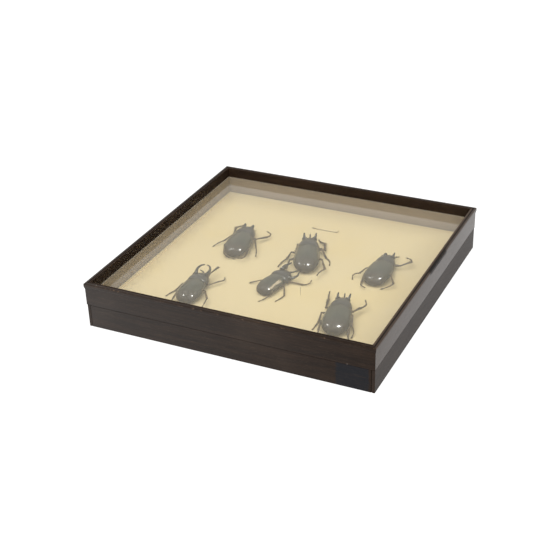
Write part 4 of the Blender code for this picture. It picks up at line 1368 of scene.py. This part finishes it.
class INSECTCASE_OT_fringe_beetles(bpy.types.Operator):
    """Adds the russet fringes under the body, at the mouth and along the legs"""
    bl_idname = "insectcase.fringe_beetles"
    bl_label = "Fringe the beetles"

    def execute(self, context):
        settings = context.scene.insect_specimens
        material = hair_finish("russet_hair", settings)
        for seed, (node, spec) in enumerate(BEETLES.items()):
            draw = random.Random(seed)
            length = spec["length"] * MM
            girth, shoulder = spec["girth"]
            longest = settings.hair_length
            width = 0.055 * MM
            bm = bmesh.new()
            for _ in range(260):
                mirror = draw.choice((-1, 1))
                angle = math.radians(mirror * draw.uniform(98, 140))
                ahead = draw.uniform(-0.7, 0.75)
                root = form_point(PRONOTUM, length, shoulder, angle, ahead, -0.012)
                way = Vector((mirror * 0.8, draw.uniform(-0.5, 0.5), draw.uniform(-0.5, 0.1)))
                add_hair(bm, root, way, longest * draw.uniform(0.5, 1.0), width)
            for _ in range(120):
                mirror = draw.choice((-1, 1))
                angle = math.radians(mirror * draw.uniform(0, 80))
                ahead = 0.86 + draw.uniform(-0.02, 0.02)
                root = form_point(PRONOTUM, length, shoulder, angle, ahead, -0.004)
                way = Vector((mirror * 0.1, 1.0, draw.uniform(-0.35, 0.1)))
                add_hair(bm, root, way, longest * draw.uniform(0.25, 0.5), width)
            for _ in range(90):
                root = Vector((draw.uniform(-0.032, 0.032), draw.uniform(0.53, 0.548), 0.082)) * length
                way = Vector((draw.uniform(-0.5, 0.5), 1.0, draw.uniform(-0.6, 0.1)))
                add_hair(bm, root, way, longest * draw.uniform(0.3, 0.7), width)
            shift_from(bm, 0, turn_about((0, NECK_AHEAD * length, 0), spec["neck"], "Z"))
            wings = dict(ELYTRA, fullness=spec["fullness"])
            for _ in range(110):
                turn = draw.choice((-1, 1)) * draw.uniform(93, 120)
                ahead = draw.uniform(-0.985, -0.80)
                root = form_point(wings, length, girth, math.radians(turn), ahead, -0.014)
                way = Vector((math.copysign(0.3, turn), -1.0, draw.uniform(-0.6, 0.0)))
                add_hair(bm, root, way, longest * draw.uniform(0.3, 0.7), width)
            shift_from(bm, 0, turn_about((0, 0, ELYTRA["waist"] * length), spec["roll"], "Y"))
            reaches = dict(zip(BONES, spec["reach"]))
            for leg, pose in spec["legs"].items():
                kind, side = leg.split("_")
                hip, knee, ankle = leg_points(kind, side, pose, length, reaches[kind])[:3]
                for start, stop, count in ((hip, knee, 26), (knee, ankle, 34)):
                    along = (stop - start).normalized()
                    aside = along.cross(Vector((0, 0, 1))).normalized()
                    for _ in range(count):
                        mirror = draw.choice((-1, 1))
                        spot = start.lerp(stop, draw.uniform(0.15, 0.95))
                        root = spot + aside * mirror * LEG_RADII[kind][1] * length * 0.7
                        way = aside * mirror + along * 0.7 + Vector((0, 0, draw.uniform(-0.9, -0.1)))
                        add_hair(bm, root, way, longest * draw.uniform(0.3, 0.75), width * 0.9)
            place_piece(node.replace("beetle", "fringe"), bm, [material], (),
                        beetle_matrix(spec))
        return {"FINISHED"}


def add_lamp(name, place, size, power, colour):
    """A square lamp that points at the middle of the case's underside."""
    data = bpy.data.lights.new(name, "AREA")
    data.shape = "RECTANGLE"
    data.size = data.size_y = size
    data.energy = power
    data.color = colour
    lamp = bpy.data.objects.new(name, data)
    bpy.context.scene.collection.objects.link(lamp)
    lamp.location = place
    lamp.rotation_euler = (-Vector(place)).to_track_quat("-Z", "Y").to_euler()
    return lamp


class INSECTCASE_OT_set_stage(bpy.types.Operator):
    """Sets the pale floor, the soft lights and the camera"""
    bl_idname = "insectcase.set_stage"
    bl_label = "Set the stage"

    def execute(self, context):
        settings = context.scene.insect_stage
        bm = bmesh.new()
        bmesh.ops.create_grid(bm, x_segments=8, y_segments=8, size=8.0)
        mesh = bpy.data.meshes.new("stage_floor")
        bm.to_mesh(mesh)
        bm.free()
        floor = bpy.data.objects.new("stage_floor", mesh)
        context.scene.collection.objects.link(floor)
        floor.location.z = -0.02 * MM
        pale = Finish("pale_floor")
        grain = pale.cloud(evenly(300), detail=2.0)
        tint = pale.mix(grain.rise(0.3, 0.7), scaled(settings.floor, 0.99), settings.floor)
        pale.wear({"Base Color": tint, "Roughness": 0.9, "Specular IOR Level": 0.1,
                   "Emission Color": evenly(1.0), "Emission Strength": settings.floor_glow})
        pale.material.cycles.emission_sampling = "NONE"
        mesh.materials.append(pale.material)
        context.scene.world = Surround("studio").shine(settings.walls, settings.ceiling)
        context.scene.world.cycles.sampling_method = "NONE"
        for name, place in SOFT_LAMPS.items():
            lamp = add_lamp(name, place, SOFT_LAMP_SIZE, settings.soft_light, (1.0, 0.99, 0.97))
            lamp.visible_glossy = False
            lamp.visible_transmission = False
            lamp.data.cycles.use_multiple_importance_sampling = False
        polished = bpy.data.collections.new("polished_skins")
        for node in BEETLES:
            polished.objects.link(bpy.data.objects[node.replace("beetle", "specimen")])
        for side, (middle, share) in GLINT_LAMPS.items():
            middle = Vector(middle)
            aside = middle.cross(Vector((0, 0, 1))).normalized() * GLINT_LAMP_STEP
            for number in range(6):
                place = middle + aside * (number % 3 - 1) + Vector((0, 0, GLINT_LAMP_RISE)) * (number // 3)
                lamp = add_lamp(f"{side}_lamp_{number}", place, GLINT_LAMP_SIZE,
                                settings.glint_light * share, (1.0, 0.98, 0.95))
                lamp.visible_diffuse = False
                lamp.light_linking.receiver_collection = polished
                lamp.data.cycles.max_bounces = 2
        context.scene.view_settings.view_transform = "Standard"
        camera = bpy.data.objects.new("camera", bpy.data.cameras.new("camera"))
        context.scene.collection.objects.link(camera)
        camera.data.lens = settings.lens
        camera.location = settings.camera_place
        level = Matrix.Rotation(settings.azimuth, 3, "Z") @ Matrix.Rotation(
            math.radians(90) - settings.elevation, 3, "X")
        camera.rotation_euler = (level @ Matrix.Rotation(settings.lean, 3, "Z")).to_euler()
        context.scene.camera = camera
        return {"FINISHED"}


class INSECTCASE_PT_panel(bpy.types.Panel):
    """Lists the settings and the steps of the case"""
    bl_label = "Insect case"
    bl_idname = "INSECTCASE_PT_panel"
    bl_space_type = "VIEW_3D"
    bl_region_type = "UI"
    bl_category = "Insect case"

    def draw(self, context):
        for group in (context.scene.insect_case, context.scene.insect_specimens, context.scene.insect_stage):
            box = self.layout.box()
            for name in group.bl_rna.properties.keys():
                if name not in ("rna_type", "name"):
                    box.prop(group, name)
        for step in STEPS:
            self.layout.operator(step.bl_idname)


SETTINGS = (CaseSettings, SpecimenSettings, StageSettings)
STEPS = (INSECTCASE_OT_finish_tray, INSECTCASE_OT_build_lid, INSECTCASE_OT_glaze, INSECTCASE_OT_line_walls,
         INSECTCASE_OT_lay_paper, INSECTCASE_OT_lay_label, INSECTCASE_OT_set_pin,
         INSECTCASE_OT_mount_beetles, INSECTCASE_OT_fringe_beetles, INSECTCASE_OT_set_stage)


def register():
    for cls in (*SETTINGS, *STEPS, INSECTCASE_PT_panel):
        bpy.utils.register_class(cls)
    bpy.types.Scene.insect_case = bpy.props.PointerProperty(type=CaseSettings)
    bpy.types.Scene.insect_specimens = bpy.props.PointerProperty(type=SpecimenSettings)
    bpy.types.Scene.insect_stage = bpy.props.PointerProperty(type=StageSettings)


def unregister():
    del bpy.types.Scene.insect_stage
    del bpy.types.Scene.insect_specimens
    del bpy.types.Scene.insect_case
    for cls in reversed((*SETTINGS, *STEPS, INSECTCASE_PT_panel)):
        bpy.utils.unregister_class(cls)


def main():
    register()
    for step in STEPS:
        group, name = step.bl_idname.split(".")
        getattr(getattr(bpy.ops, group), name)()


if __name__ == "__main__":
    main()
